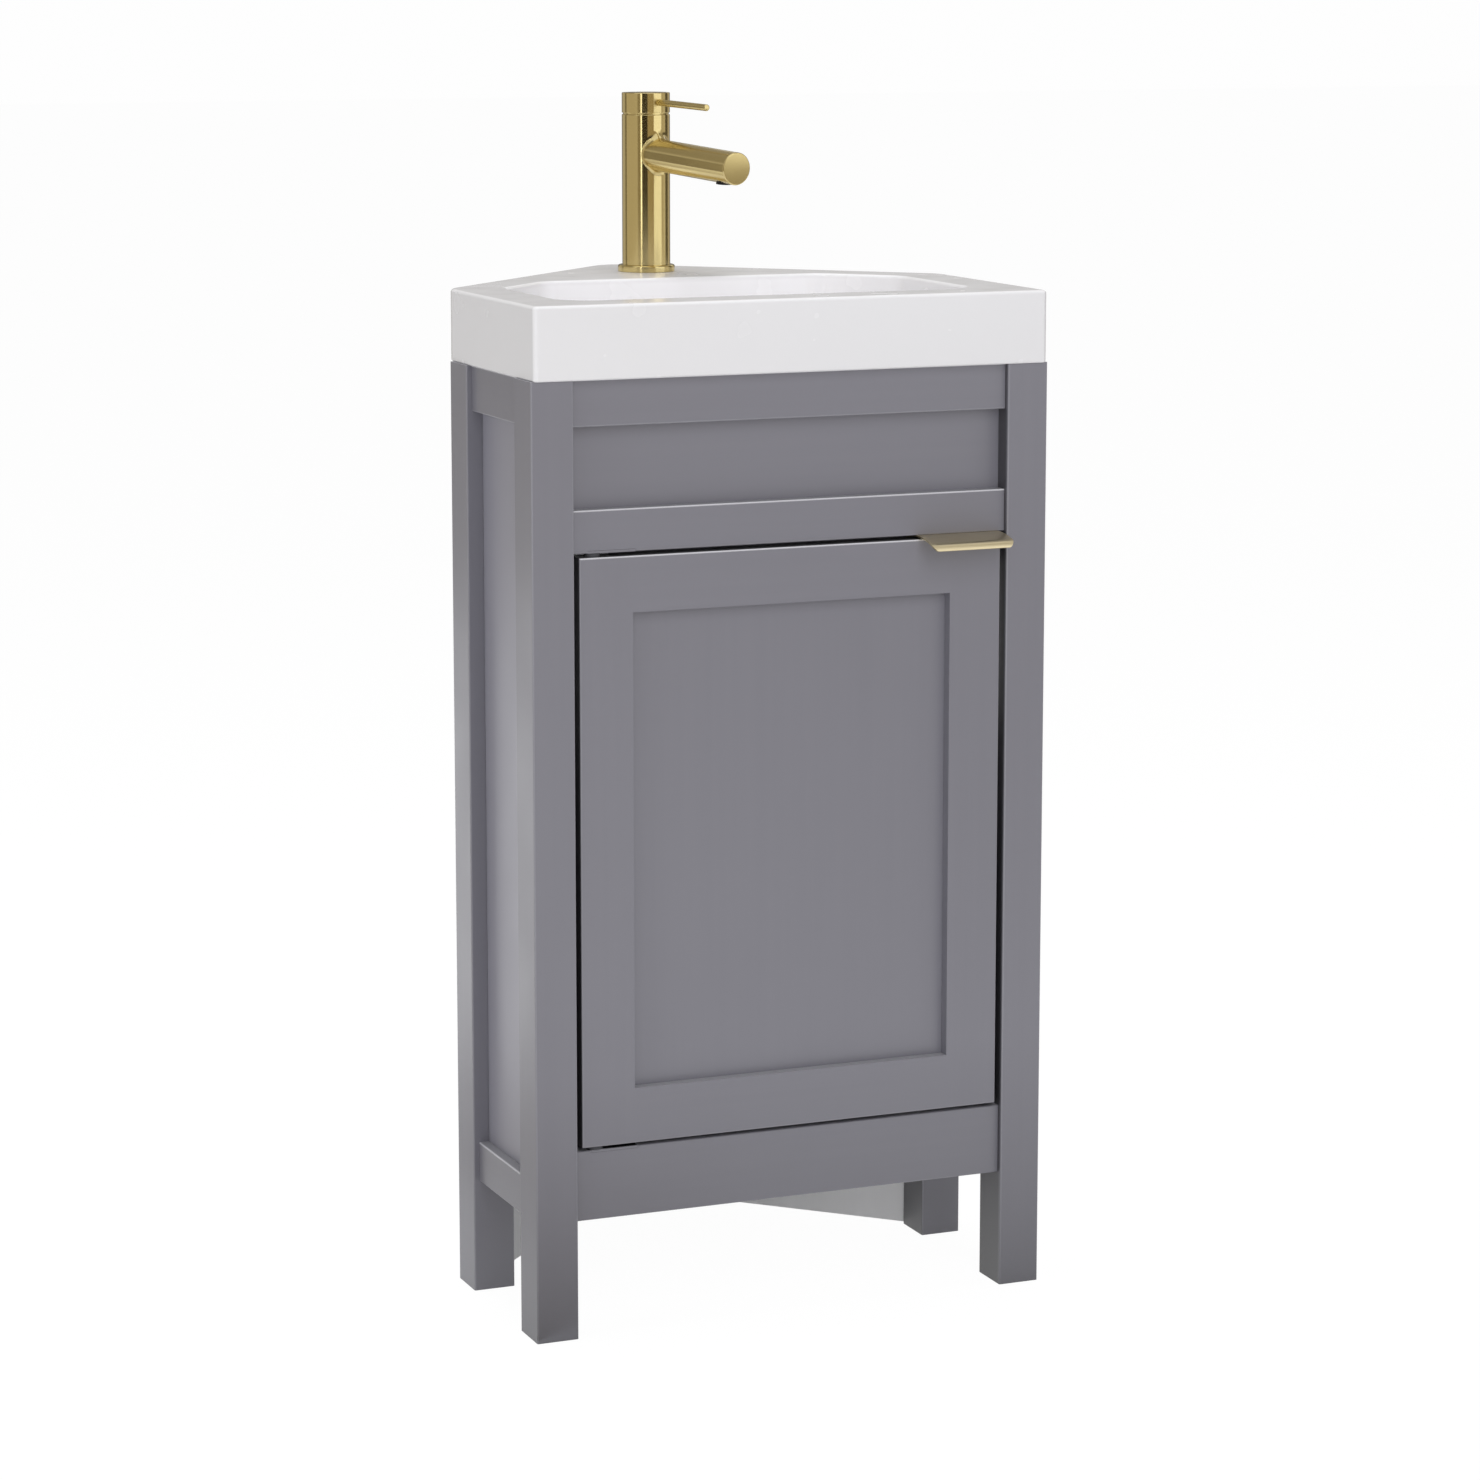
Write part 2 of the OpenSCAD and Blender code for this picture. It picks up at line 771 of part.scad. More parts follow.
// Plate that is let into a rail, with the pin that the door turns on
module pivot_plate(z, way) {
    difference() {
        union() {
            plate_shape(way > 0 ? z : z - plate_thickness, plate_thickness, 0);
            translate([pivot_x, pivot_y, way > 0 ? z - door_top_gap - pin_length : z - plate_thickness])
                cylinder(d = pivot_diameter,
                         h = plate_thickness + pin_length + (way > 0 ? door_top_gap : door_bottom_gap));
        }
        for (place = plate_screw_places)
            translate([pivot_x + place, pivot_y, way > 0 ? z : z - plate_thickness])
                countersink(way);
    }
}

// Hole through a plate, wide at the face that shows
module countersink(way) {
    translate([0, 0, -overcut])
        cylinder(r = screw_radius + screw_play, h = plate_thickness + 2 * overcut);
    translate([0, 0, way > 0 ? 0 : plate_thickness])
        rotate([way > 0 ? 0 : 180, 0, 0])
            cylinder(r1 = screw_head_radius + screw_play, r2 = screw_radius + screw_play,
                     h = screw_head_height);
}

module pivot_plate_upper() { color(dark_steel) placed() pivot_plate(middle_rail_bottom, 1); }
module pivot_plate_lower() { color(dark_steel) placed() pivot_plate(bottom_rail_top, -1); }

// Countersunk wood screw with its head down and its tip up
module wood_screw(length) {
    difference() {
        union() {
            cylinder(r1 = screw_head_radius, r2 = screw_radius - screw_play, h = screw_head_height);
            cylinder(r = screw_radius - screw_play, h = length - screw_tip);
            translate([0, 0, length - screw_tip])
                cylinder(r1 = screw_radius - screw_play, r2 = screw_tip_radius, h = screw_tip);
        }
        cross_recess();
    }
}

// Cross for the driver, cut up into a head whose face is at zero
module cross_recess() {
    for (turn = [0, 90])
        rotate([0, 0, turn])
            block([-cross_reach, -cross_half_width, -overcut],
                  [cross_reach, cross_half_width, cross_depth]);
}

module pivot_screws() {
    color(dark_steel) placed()
        for (place = plate_screw_places) {
            translate([pivot_x + place, pivot_y, middle_rail_bottom])
                wood_screw(screw_length);
            translate([pivot_x + place, pivot_y, bottom_rail_top])
                rotate([180, 0, 0])
                    wood_screw(screw_length);
        }
}

// Flanged bush in the door's edge, drawn with the flange upwards
module pivot_bush(flange) {
    difference() {
        union() {
            translate([0, 0, -bush_depth])
                cylinder(r = bush_radius, h = bush_depth + flange);
            cylinder(r = bush_flange, h = flange);
        }
        translate([0, 0, -bush_depth - 1])
            cylinder(r = pivot_diameter / 2 + pivot_play, h = bush_depth + flange + 2);
    }
}

module pivot_bush_upper() {
    color(nylon) placed()
        translate([pivot_x, pivot_y, door_top])
            pivot_bush(door_top_gap - washer_play);
}

module pivot_bush_lower() {
    color(nylon) placed()
        translate([pivot_x, pivot_y, door_bottom])
            rotate([180, 0, 0])
                pivot_bush(door_bottom_gap - washer_play);
}

// ---------- door ----------

// The whole door as one leaf, with every outer edge eased, that its frame is cut from
module door_leaf() {
    low = [-door_half, door_setback, door_bottom];
    high = [door_half, door_back, door_top];
    intersection() {
        bar(low, high, 0);
        bar(low, high, 2);
    }
}

module door_stile(x, inner_edge, way) {
    difference() {
        intersection() {
            door_leaf();
            block([x, door_setback - 1, door_bottom - 1],
                  [x + door_frame_width, door_back + 1, door_top + 1]);
        }
        // groove for the panel
        block([way > 0 ? inner_edge - groove_depth : inner_edge - 1,
               door_panel_face - joint_play, door_bottom + door_frame_width - groove_depth],
              [way > 0 ? inner_edge + 1 : inner_edge + groove_depth,
               door_panel_face + infill_thickness + joint_play,
               door_top - door_frame_width + groove_depth]);
        // mortises for the two rails
        for (bottom = [door_bottom, door_top - door_frame_width])
            block([way > 0 ? inner_edge - tenon_length - joint_play : inner_edge - 1,
                   door_panel_face - joint_play, bottom + tenon_shoulder - joint_play],
                  [way > 0 ? inner_edge + 1 : inner_edge + tenon_length + joint_play,
                   door_panel_face + infill_thickness + joint_play,
                   bottom + door_frame_width - tenon_shoulder + joint_play]);
    }
}

module door_stile_left() {
    color(paint) placed() difference() {
        door_stile(-door_half, -door_half + door_frame_width, 1);
        for (z = [door_bottom - 1, door_top - bush_depth - joint_play])
            translate([pivot_x, pivot_y, z])
                cylinder(r = bush_radius, h = bush_depth + joint_play + 1);
    }
}

module door_stile_right() {
    color(paint) placed() difference() {
        door_stile(door_half - door_frame_width, door_half - door_frame_width, -1);
        handle_screw_holes();
    }
}

module door_rail(bottom, groove_edge, way) {
    end = door_half - door_frame_width;
    difference() {
        union() {
            intersection() {
                door_leaf();
                block([-end, door_setback - 1, bottom], [end, door_back + 1, bottom + door_frame_width]);
            }
            block([-end - tenon_length, door_panel_face, bottom + tenon_shoulder],
                  [end + tenon_length, door_panel_face + infill_thickness,
                   bottom + door_frame_width - tenon_shoulder]);
        }
        block([-door_half, door_panel_face - joint_play,
               way > 0 ? groove_edge - 1 : groove_edge - groove_depth],
              [door_half, door_panel_face + infill_thickness + joint_play,
               way > 0 ? groove_edge + groove_depth : groove_edge + 1]);
    }
}

module door_top_rail() {
    color(paint) placed() difference() {
        door_rail(door_top - door_frame_width, door_top - door_frame_width, 1);
        handle_screw_holes();
    }
}

module door_bottom_rail() {
    color(paint) placed()
        door_rail(door_bottom, door_bottom + door_frame_width, -1);
}

module door_panel() {
    end = door_half - door_frame_width + groove_depth - groove_play;
    color(paint) placed()
        block([-end, door_panel_face, door_bottom + door_frame_width - groove_depth + groove_play],
              [end, door_panel_face + infill_thickness,
               door_top - door_frame_width + groove_depth - groove_play]);
}

// ---------- handle ----------

// Side view of the folded sheet: (y, z) from the door's face and top edge.
// The tab hangs behind the door, the top lies on the edge, and the front bows down.
function handle_bow(t) = [-handle_reach * t, handle_sheet - handle_drop * t * t];

// The sheet's underside, one thickness square to the bow
function handle_under(t) = handle_bow(t) + handle_sheet * unit([2 * handle_drop * t, -handle_reach]);

module handle_profile() {
    steps = 12;
    upper = [for (i = [0:steps]) handle_bow(i / steps)];
    lower = [for (i = [steps:-1:0]) handle_under(i / steps)];
    behind = door_thickness + handle_sheet;
    polygon(concat([[behind, handle_sheet - handle_tab], [behind, handle_sheet]], upper, lower,
                   [[door_thickness, 0], [door_thickness, handle_sheet - handle_tab]]));
}

module handle() {
    color(brass) placed()
        translate([door_half - handle_length, door_setback, door_top])
            difference() {
                rotate([90, 0, 90])
                    linear_extrude(handle_length)
                        handle_profile();
                // rounded front corners
                for (side = [0, 1])
                    translate([side * handle_length, -handle_reach, 0])
                        mirror([side, 0, 0])
                            corner_cut(handle_corner);
                for (x = handle_screw_xs())
                    translate([x, door_thickness - overcut, handle_sheet - handle_screw_drop])
                        rotate([-90, 0, 0])
                            cylinder(r = screw_radius + screw_play, h = handle_sheet + 2 * overcut);
            }
}

function handle_screw_xs() = [handle_screw_inset, handle_length - handle_screw_inset];

// What is left of a square corner outside its arc
module corner_cut(r) {
    difference() {
        translate([-1, -1, -2 * handle_drop])
            cube([r + 1, r + 1, 4 * handle_drop]);
        translate([r, r, -2 * handle_drop])
            cylinder(r = r, h = 4 * handle_drop);
    }
}

module handle_screw_holes() {
    for (x = handle_screw_xs())
        translate([door_half - handle_length + x, door_back, door_top + handle_sheet - handle_screw_drop])
            rotate([90, 0, 0])
                cylinder(r = screw_radius, h = screw_length);
}

module handle_screws() {
    color(brass) placed()
        for (x = handle_screw_xs())
            translate([door_half - handle_length + x, door_back + handle_sheet,
                       door_top + handle_sheet - handle_screw_drop])
                rotate([90, 0, 0])
                    pan_screw(screw_length);
}

// Pan head screw with its tip along +Z and its head under the face
module pan_screw(length) {
    difference() {
        union() {
            translate([0, 0, -screw_head_height])
                cylinder(r1 = screw_head_radius - 1, r2 = screw_head_radius, h = screw_head_height);
            cylinder(r = screw_radius - screw_play, h = length - 2);
        }
        translate([0, 0, -screw_head_height])
            cross_recess();
    }
}

// ---------- basin ----------

// Rim as a solid block with a rounded upper edge
module rim_block() {
    loft(concat(
        [[rounded_outline(basin_points, basin_radii, foot_chamfer), cabinet_height],
         [rounded_outline(basin_points, basin_radii, 0), cabinet_height + foot_chamfer]],
        [for (i = [0:round_steps])
            let (turn = 90 * i / round_steps)
            [rounded_outline(basin_points, basin_radii, rim_round * (1 - cos(turn))),
             rim_top - rim_round * (1 - sin(turn))]]));
}

// The bowl's inner form, or its outer form when it is grown by the wall
module bowl_form(grow, top) {
    wall_depth = bowl_depth - bowl_round;
    loft(concat(
        [for (i = [bowl_steps:-1:0])
            let (turn = 90 * i / bowl_steps)
            [rounded_outline(bowl_points, bowl_radii,
                             wall_depth * tan(bowl_draft) + bowl_round * (1 - cos(turn)) - grow),
             rim_top - wall_depth - bowl_round * sin(turn) - grow]],
        [[rounded_outline(bowl_points, bowl_radii, -grow), top]]));
}

// Eased edge round the bowl's mouth
module bowl_mouth() {
    loft([for (i = [0:mouth_steps])
        let (turn = 90 * i / mouth_steps)
        [rounded_outline(bowl_points, bowl_radii, mouth_round * (cos(turn) - 1) + mouth_overlap),
         rim_top - mouth_round * (1 - sin(turn))]]);
}

module basin() {
    color(white) placed() difference() {
        union() {
            difference() {
                rim_block();
                // hollow under the rim
                translate([0, 0, cabinet_height - 1])
                    linear_extrude(rim_height - deck_thickness + 1)
                        polygon([for (i = [0:len(basin_points) - 1])
                            inset_corner(basin_points, i, rim_wall)]);
            }
            bowl_form(bowl_wall, rim_top - deck_thickness);
        }
        bowl_form(0, rim_top + 1);
        bowl_mouth();
        translate([0, waste_y, bowl_floor - bowl_wall - 1])
            cylinder(r = waste_hole_radius, h = 2 * bowl_wall);
        translate([0, tap_y, rim_top - deck_thickness - 1])
            cylinder(r = tap_hole_radius, h = deck_thickness + 2);
    }
}

// ---------- waste ----------

module at_waste() {
    placed()
        translate([0, waste_y, bowl_floor])
            children();
}

module waste_body() {
    color(brass) at_waste() difference() {
        union() {
            cylinder(d1 = flange_diameter, d2 = flange_diameter - 2 * flange_taper, h = flange_thickness);
            translate([0, 0, -bowl_wall - tail_length])
                cylinder(r = tail_radius, h = bowl_wall + tail_length);
            translate([0, 0, -neck_length])
                cylinder(r = neck_radius, h = neck_length);
        }
        // the bore stays open round a small bridge that guides the plug
        difference() {
            translate([0, 0, -bowl_wall - tail_length - 1])
                cylinder(r = tail_bore, h = bowl_wall + tail_length + flange_thickness + 2);
            translate([-tail_radius, -bridge_width / 2, bridge_bottom])
                cube([2 * tail_radius, bridge_width, bridge_height]);
            translate([0, 0, bridge_bottom])
                cylinder(r = plug_stem_radius + bridge_boss, h = bridge_height);
        }
        translate([0, 0, bridge_bottom - overcut])
            cylinder(r = plug_stem_radius + pivot_play, h = bridge_height + 2 * overcut);
    }
}

module waste_seal() {
    color(rubber) at_waste()
        translate([0, 0, -bowl_wall - seal_thickness])
            difference() {
                cylinder(r = waste_nut_radius - 1, h = seal_thickness);
                translate([0, 0, -1])
                    cylinder(r = neck_radius, h = seal_thickness + 2);
            }
}

module waste_backnut() {
    color(brass) at_waste()
        translate([0, 0, -bowl_wall - seal_thickness - waste_nut_height])
            difference() {
                cylinder(r = waste_nut_radius, h = waste_nut_height, $fn = 8);
                translate([0, 0, -1])
                    cylinder(r = neck_radius, h = waste_nut_height + 2, $fn = 64);
            }
}

// Dome of the push plug
module waste_plug() {
    radius = plug_diameter / 2;
    sphere_radius = (radius * radius + plug_rise * plug_rise) / (2 * plug_rise);
    color(brass) at_waste()
        translate([0, 0, flange_thickness + plug_gap])
            intersection() {
                translate([0, 0, plug_rise - sphere_radius])
                    sphere(r = sphere_radius, $fn = 96);
                cylinder(r = radius - plug_edge, h = plug_rise + 1);
            }
}

// Stem under the plug, which slides in the bridge of the waste
module waste_stem() {
    bottom = bridge_bottom - stem_tail;
    color(steel) at_waste()
        translate([0, 0, bottom])
            cylinder(r = plug_stem_radius, h = flange_thickness + plug_gap - bottom);
}

// ---------- tap ----------

// The tap's frame: its axis stands on the basin, and -Y runs along the spout
module at_tap() {
    placed()
        translate([0, tap_y, rim_top])
            rotate([0, 0, tap_turn])
                children();
}

// The spout's frame, with +Z along its axis, outwards
module along_spout() {
    translate([0, 0, spout_height])
        rotate([90 + spout_fall, 0, 0])
            children();
}

// The pin's frame, with +Z along its axis, outwards
module along_pin() {
    translate([0, 0, cap_bottom + pin_place])
        rotate([90 + pin_fall, 0, 0])
            children();
}

module tap_body() {
    color(brass) at_tap() difference() {
        union() {
            translate([0, 0, base_ring_height])
                cylinder(r = tap_radius, h = body_top - base_ring_height);
            along_spout()
                rotate_extrude()
                    polygon([[0, 0], [spout_diameter / 2, 0],
                             [spout_diameter / 2, spout_reach - spout_edge],
                             [spout_diameter / 2 - spout_edge, spout_reach], [0, spout_reach]]);
        }
        // pocket for the cartridge
        translate([0, 0, pocket_bottom])
            cylinder(r = pocket_radius, h = pocket_depth + 1);
        // waterway to the outlet
        along_spout()
            translate([0, 0, tap_radius / 2])
                cylinder(r = outlet_radius - 1, h = spout_reach - outlet_place - tap_radius / 2);
        along_spout()
            translate([0, 0, spout_reach - outlet_place])
                rotate([90, 0, 0])
                    cylinder(r = outlet_radius, h = spout_diameter);
    }
}

module tap_base_ring() {
    color(brass) at_tap()
        rotate_extrude()
            polygon([[spigot_radius + joint_play, 0], [base_ring_diameter / 2, 0],
                     [base_ring_diameter / 2, base_ring_height - ring_chamfer],
                     [base_ring_diameter / 2 - ring_chamfer, base_ring_height],
                     [spigot_radius + joint_play, base_ring_height]]);
}

// Outlet insert with a fine flow screen, almost flush with the spout
module tap_aerator() {
    reach = spout_diameter / 2 + outlet_show;
    color(steel) at_tap() along_spout()
        translate([0, 0, spout_reach - outlet_place])
            rotate([90, 0, 0])
                difference() {
                    translate([0, 0, reach - outlet_length])
                        cylinder(r = outlet_radius - joint_play, h = outlet_length);
                    translate([0, 0, reach - 1.5])
                        cylinder(r = outlet_radius - 2, h = 2);
                }
}

// Domed ring that closes the pocket; the cap slides over it
module tap_bonnet() {
    color(brass) at_tap()
        rotate_extrude()
            difference() {
                union() {
                    intersection() {
                        translate([0, tilt_height])
                            circle(r = dome_sphere, $fn = 128);
                        translate([0, body_top])
                            square([tap_radius - 1, dome_sphere]);
                    }
                    translate([0, body_top - bonnet_height])
                        square([pocket_radius - 0.1, bonnet_height + 0.1]);
                }
                translate([0, body_top - bonnet_height - 1])
                    square([dome_hole, dome_sphere + bonnet_height]);
                translate([-tap_diameter, 0])
                    square([tap_diameter, tap_height]);
            }
}

module tap_cartridge() {
    color(nylon) at_tap() difference() {
        translate([0, 0, pocket_bottom])
            cylinder(r = cartridge_radius, h = cartridge_height);
        translate([0, 0, collar_bottom - joint_play])
            cylinder(r = collar_radius + pivot_play, h = cartridge_height);
    }
}

// Turning collar of the cartridge; the lever's stem rocks in its slot
module tap_collar() {
    color(steel) at_tap() difference() {
        translate([0, 0, collar_bottom])
            cylinder(r = collar_radius, h = collar_height);
        block([-stem_radius - 0.3, -stem_slot / 2, collar_bottom + 1],
              [stem_radius + 0.3, stem_slot / 2, collar_bottom + collar_height + 1]);
        translate([-collar_radius - 1, 0, tilt_height])
            rotate([0, 90, 0])
                cylinder(r = hinge_radius + pivot_play, h = 2 * collar_radius + 2);
    }
}

module tap_stem() {
    color(steel) at_tap() {
        block([-stem_radius, -stem_half_depth, stem_bottom],
              [stem_radius, stem_half_depth, stem_top]);
        translate([-collar_radius + 0.5, 0, tilt_height])
            rotate([0, 90, 0])
                cylinder(r = hinge_radius, h = 2 * collar_radius - 1);
    }
}

// Cap of the lever, hollowed to the sphere that it slides on
module tap_cap() {
    color(brass) at_tap() difference() {
        rotate_extrude()
            difference() {
                polygon([[0, cap_bottom - 1], [tap_radius, cap_bottom - 1],
                         [tap_radius, tap_height - brass_edge], [tap_radius - brass_edge, tap_height],
                         [0, tap_height]]);
                translate([0, tilt_height])
                    circle(r = cap_sphere, $fn = 128);
                translate([-tap_diameter, 0])
                    square([tap_diameter, tap_height + 1]);
            }
        block([-stem_radius - 0.1, -stem_half_depth - 0.1, cap_bottom - 2],
              [stem_radius + 0.1, stem_half_depth + 0.1, stem_top + 0.1]);
        along_pin()
            cylinder(d = pin_diameter, h = tap_diameter);
    }
}

module tap_pin() {
    color(brass) at_tap() along_pin()
        rotate_extrude()
            polygon([[0, stem_radius], [pin_diameter / 2, stem_radius],
                     [pin_diameter / 2, pin_reach - brass_edge],
                     [pin_diameter / 2 - brass_edge, pin_reach],
                     [0, pin_reach]]);
}

// Threaded shank under the basin, with two blind inlets for the water tails
module tap_shank() {
    color(brass) at_tap() difference() {
        union() {
            translate([0, 0, -shank_length])
                cylinder(r = shank_radius, h = shank_length);
            cylinder(r = spigot_radius, h = base_ring_height);
        }
        for (side = [-1, 1])
            translate([side * inlet_offset, 0, -shank_length - 1])
                cylinder(r = inlet_radius, h = inlet_depth + 1);
    }
}

module tap_seal() {
    color(rubber) at_tap()
        translate([0, 0, -deck_thickness - seal_thickness])
            difference() {
                cylinder(r = nut_radius - 2, h = seal_thickness);
                translate([0, 0, -1])
                    cylinder(r = shank_radius, h = seal_thickness + 2);
            }
}

module tap_backnut() {
    color(brass) at_tap()
        translate([0, 0, -deck_thickness - seal_thickness - nut_height])
            difference() {
                cylinder(r = nut_radius, h = nut_height, $fn = 6);
                translate([0, 0, -1])
                    cylinder(r = shank_radius, h = nut_height + 2, $fn = 64);
            }
}

front_post_left();
front_post_right();
rear_post_left();
rear_post_right();
top_rail();
drawer_panel();
middle_rail();
bottom_rail();
side_top_rail_left();
side_top_rail_right();
side_bottom_rail_left();
side_bottom_rail_right();
side_panel_left();
side_panel_right();
back_panel_left();
back_panel_right();
corner_batten();
floor_panel();
floor_cleats();
shelf();
shelf_cleats();
door_stop();
door_bumpers();
catch_magnet();
catch_plate();
pivot_plate_upper();
pivot_plate_lower();
pivot_screws();
door_stile_left();
door_stile_right();
door_top_rail();
door_bottom_rail();
door_panel();
pivot_bush_upper();
pivot_bush_lower();
handle();
handle_screws();
basin();
waste_body();
waste_seal();
waste_backnut();
waste_plug();
waste_stem();
tap_body();
tap_base_ring();
tap_aerator();
tap_bonnet();
tap_cartridge();
tap_collar();
tap_stem();
tap_cap();
tap_pin();
tap_shank();
tap_seal();
tap_backnut();
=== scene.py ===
import math
import bpy
import bmesh
from mathutils import Matrix, Vector
from mathutils.geometry import tessellate_polygon


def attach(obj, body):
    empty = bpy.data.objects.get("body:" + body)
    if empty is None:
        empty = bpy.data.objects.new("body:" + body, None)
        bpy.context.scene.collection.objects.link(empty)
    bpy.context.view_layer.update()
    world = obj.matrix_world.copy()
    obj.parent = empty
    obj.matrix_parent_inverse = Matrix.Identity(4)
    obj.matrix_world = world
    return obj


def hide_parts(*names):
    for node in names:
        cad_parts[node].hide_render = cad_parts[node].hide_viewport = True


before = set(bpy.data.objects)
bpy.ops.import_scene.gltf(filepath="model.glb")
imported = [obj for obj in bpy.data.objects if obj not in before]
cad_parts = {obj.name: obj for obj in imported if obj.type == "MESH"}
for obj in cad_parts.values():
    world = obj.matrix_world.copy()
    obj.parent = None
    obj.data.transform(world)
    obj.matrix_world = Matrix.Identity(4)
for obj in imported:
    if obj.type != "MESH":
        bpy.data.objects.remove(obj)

scene = bpy.context.scene
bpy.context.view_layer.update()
frontY = -0.1971152          # face of the front posts in the row's frame
rimTop = 0.850
tapAxis = (0.0, 0.330 + frontY)
tapTurn = math.radians(12)
print("frame loaded,", len(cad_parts), "nodes")


def addObject(name, data):
    thing = bpy.data.objects.new(name, data)
    scene.collection.objects.link(thing)
    return thing


# camera
cameraSettings = {
    "place": (-1.38117, -3.38871, 1.12063),
    "yaw": 22.5775,
    "pitch": 9.1432,
    "sensor": 36,
    "lens": 104.687,
    "shift": (0.0042, -0.06),
}


def makeCamera(s):
    data = bpy.data.cameras.new("camera")
    data.sensor_width = s["sensor"]
    data.lens = s["lens"]
    data.shift_x, data.shift_y = s["shift"]
    camera = addObject("camera", data)
    camera.location = s["place"]
    camera.rotation_euler = (math.radians(90 - s["pitch"]), 0, math.radians(-s["yaw"]))
    scene.camera = camera


makeCamera(cameraSettings)
print("camera placed")


# helpers for every node tree
def feed(tree, node, feeds):
    # each input, by name or number, takes a fixed value or follows another node's output
    for socket, source in feeds.items():
        if isinstance(source, bpy.types.NodeSocket):
            tree.links.new(source, node.inputs[socket])
        else:
            node.inputs[socket].default_value = source


def addNode(tree, kind, feeds=None, **values):
    node = tree.nodes.new(kind)
    for key, value in values.items():
        setattr(node, key, value)
    feed(tree, node, feeds or {})
    return node


def mathNode(tree, operation, *parts, **values):
    return addNode(tree, "ShaderNodeMath", dict(enumerate(parts)), operation=operation, **values).outputs[0]


def combine(tree, operation, first, *others):
    for other in others:
        first = mathNode(tree, operation, first, other)
    return first


def within(tree, s, *tests):
    # 1 where each value is past its own limits
    return combine(tree, "MULTIPLY", *[past(tree, value, *s[limits]) for value, limits in tests])


def partsOf(tree, vector, absolute=False):
    if absolute:
        vector = addNode(tree, "ShaderNodeVectorMath", {0: vector}, operation="ABSOLUTE").outputs[0]
    return addNode(tree, "ShaderNodeSeparateXYZ", {0: vector}).outputs


def toRange(tree, value, low, high, start=0.3, end=0.7):
    feeds = {"Value": value, "From Min": start, "From Max": end, "To Min": low, "To Max": high}
    return addNode(tree, "ShaderNodeMapRange", feeds).outputs["Result"]


def past(tree, value, start, end):
    # 0 before the start, 1 past the end
    return toRange(tree, value, 0.0, 1.0, start, end)


def newGroup(name, inputs, *outputs):
    # inputs are names and defaults, with None for a vector
    group = bpy.data.node_groups.new(name, "ShaderNodeTree")
    for label, default in inputs.items():
        kind = "NodeSocketVector" if default is None else "NodeSocketFloat"
        socket = group.interface.new_socket(label, in_out="INPUT", socket_type=kind)
        if default is not None:
            socket.default_value = default
    for label in outputs:
        group.interface.new_socket(label, in_out="OUTPUT", socket_type="NodeSocketFloat")
    return group, group.nodes.new("NodeGroupInput").outputs, group.nodes.new("NodeGroupOutput")


# effects that several finishes share
def makeStreaks():
    # long soft marks that run along Z of the vector, as a brush or a lathe tool leaves them
    group, enter, leave = newGroup(
        "streaks", {"Vector": None, "Across": 200.0, "Along": 4.0, "Contrast": 0.5}, "Streak", "Height")
    across, along = enter["Across"], enter["Along"]
    scale = addNode(group, "ShaderNodeCombineXYZ", {0: across, 1: across, 2: along})
    stretched = addNode(group, "ShaderNodeVectorMath", {0: enter["Vector"], 1: scale.outputs[0]},
                        operation="MULTIPLY")
    noise = addNode(group, "ShaderNodeTexNoise", {"Vector": stretched.outputs[0], "Scale": 1, "Detail": 3,
                                                  "Roughness": 0.6}).outputs["Fac"]
    middle = 0.5
    centred = mathNode(group, "SUBTRACT", noise, middle)
    spread = mathNode(group, "MULTIPLY_ADD", centred, enter["Contrast"], middle, use_clamp=True)
    feed(group, leave, {"Streak": spread, "Height": noise})
    return group


def makePeel():
    # fine dimples of a sprayed or cast skin, and a slow cloudiness over the whole surface
    inputs = {"Vector": None, "Fine": 900.0, "Slow": 6.0}
    group, enter, leave = newGroup("skinPeel", inputs, "Height", "Cloud")
    for scale, result in (("Fine", "Height"), ("Slow", "Cloud")):
        noise = addNode(group, "ShaderNodeTexNoise", {
            "Vector": enter["Vector"], "Scale": enter[scale], "Detail": 2})
        feed(group, leave, {result: noise.outputs["Fac"]})
    return group


paintedArrisSettings = {        # between which parts of the normal each mask rises
    "square": (0.97, 0.995),
    "tilt": (0.0, 0.6),
    "level": (0.96, 0.99),
}


def makePaintedArrisLight(s):
    # painted highlight on the eased edges of square timber: 1 where the face is turned out of square, most on
    # edges that look up, where light from above catches them; the second output is painted light on flat
    # faces that look up
    group, enter, leave = newGroup("paintedArrisLight", {"Normal": None, "Upright": 0.1, "Upward": 1.0}, "Mask", "LedgeLight")
    squareness = combine(group, "MAXIMUM", *partsOf(group, enter["Normal"], True))
    edge = toRange(group, squareness, 1.0, 0.0, *s["square"])
    upward = partsOf(group, enter["Normal"])[2]
    share = toRange(group, upward, enter["Upright"], enter["Upward"], *s["tilt"])
    highlight, ledge = combine(group, "MULTIPLY", edge, share), past(group, upward, *s["level"])
    feed(group, leave, {"Mask": highlight, "LedgeLight": ledge})
    return group


footSettings = {"reach": 0.22, "lowest": 0.45, "rear": 0.85, "curve": 0.6, "depth": (-0.15, 0.0)}


def makePaintedFootShade(s):
    # painted shade on the lowest part of the legs, where less light reaches them near the floor: darkest at
    # the floor, less on the rear legs
    group, enter, leave = newGroup(
        "paintedFootShade", {"Vector": None, "Reach": s["reach"], "Lowest": s["lowest"], "Rear": s["rear"]}, "Shade")
    place = partsOf(group, enter["Vector"])
    height = mathNode(group, "DIVIDE", place[2], enter["Reach"], use_clamp=True)
    curve = mathNode(group, "POWER", height, s["curve"])
    darkest = toRange(group, place[1], enter["Lowest"], enter["Rear"], *s["depth"])
    feed(group, leave, {"Shade": toRange(group, curve, darkest, 1.0, 0.0, 1.0)})
    return group


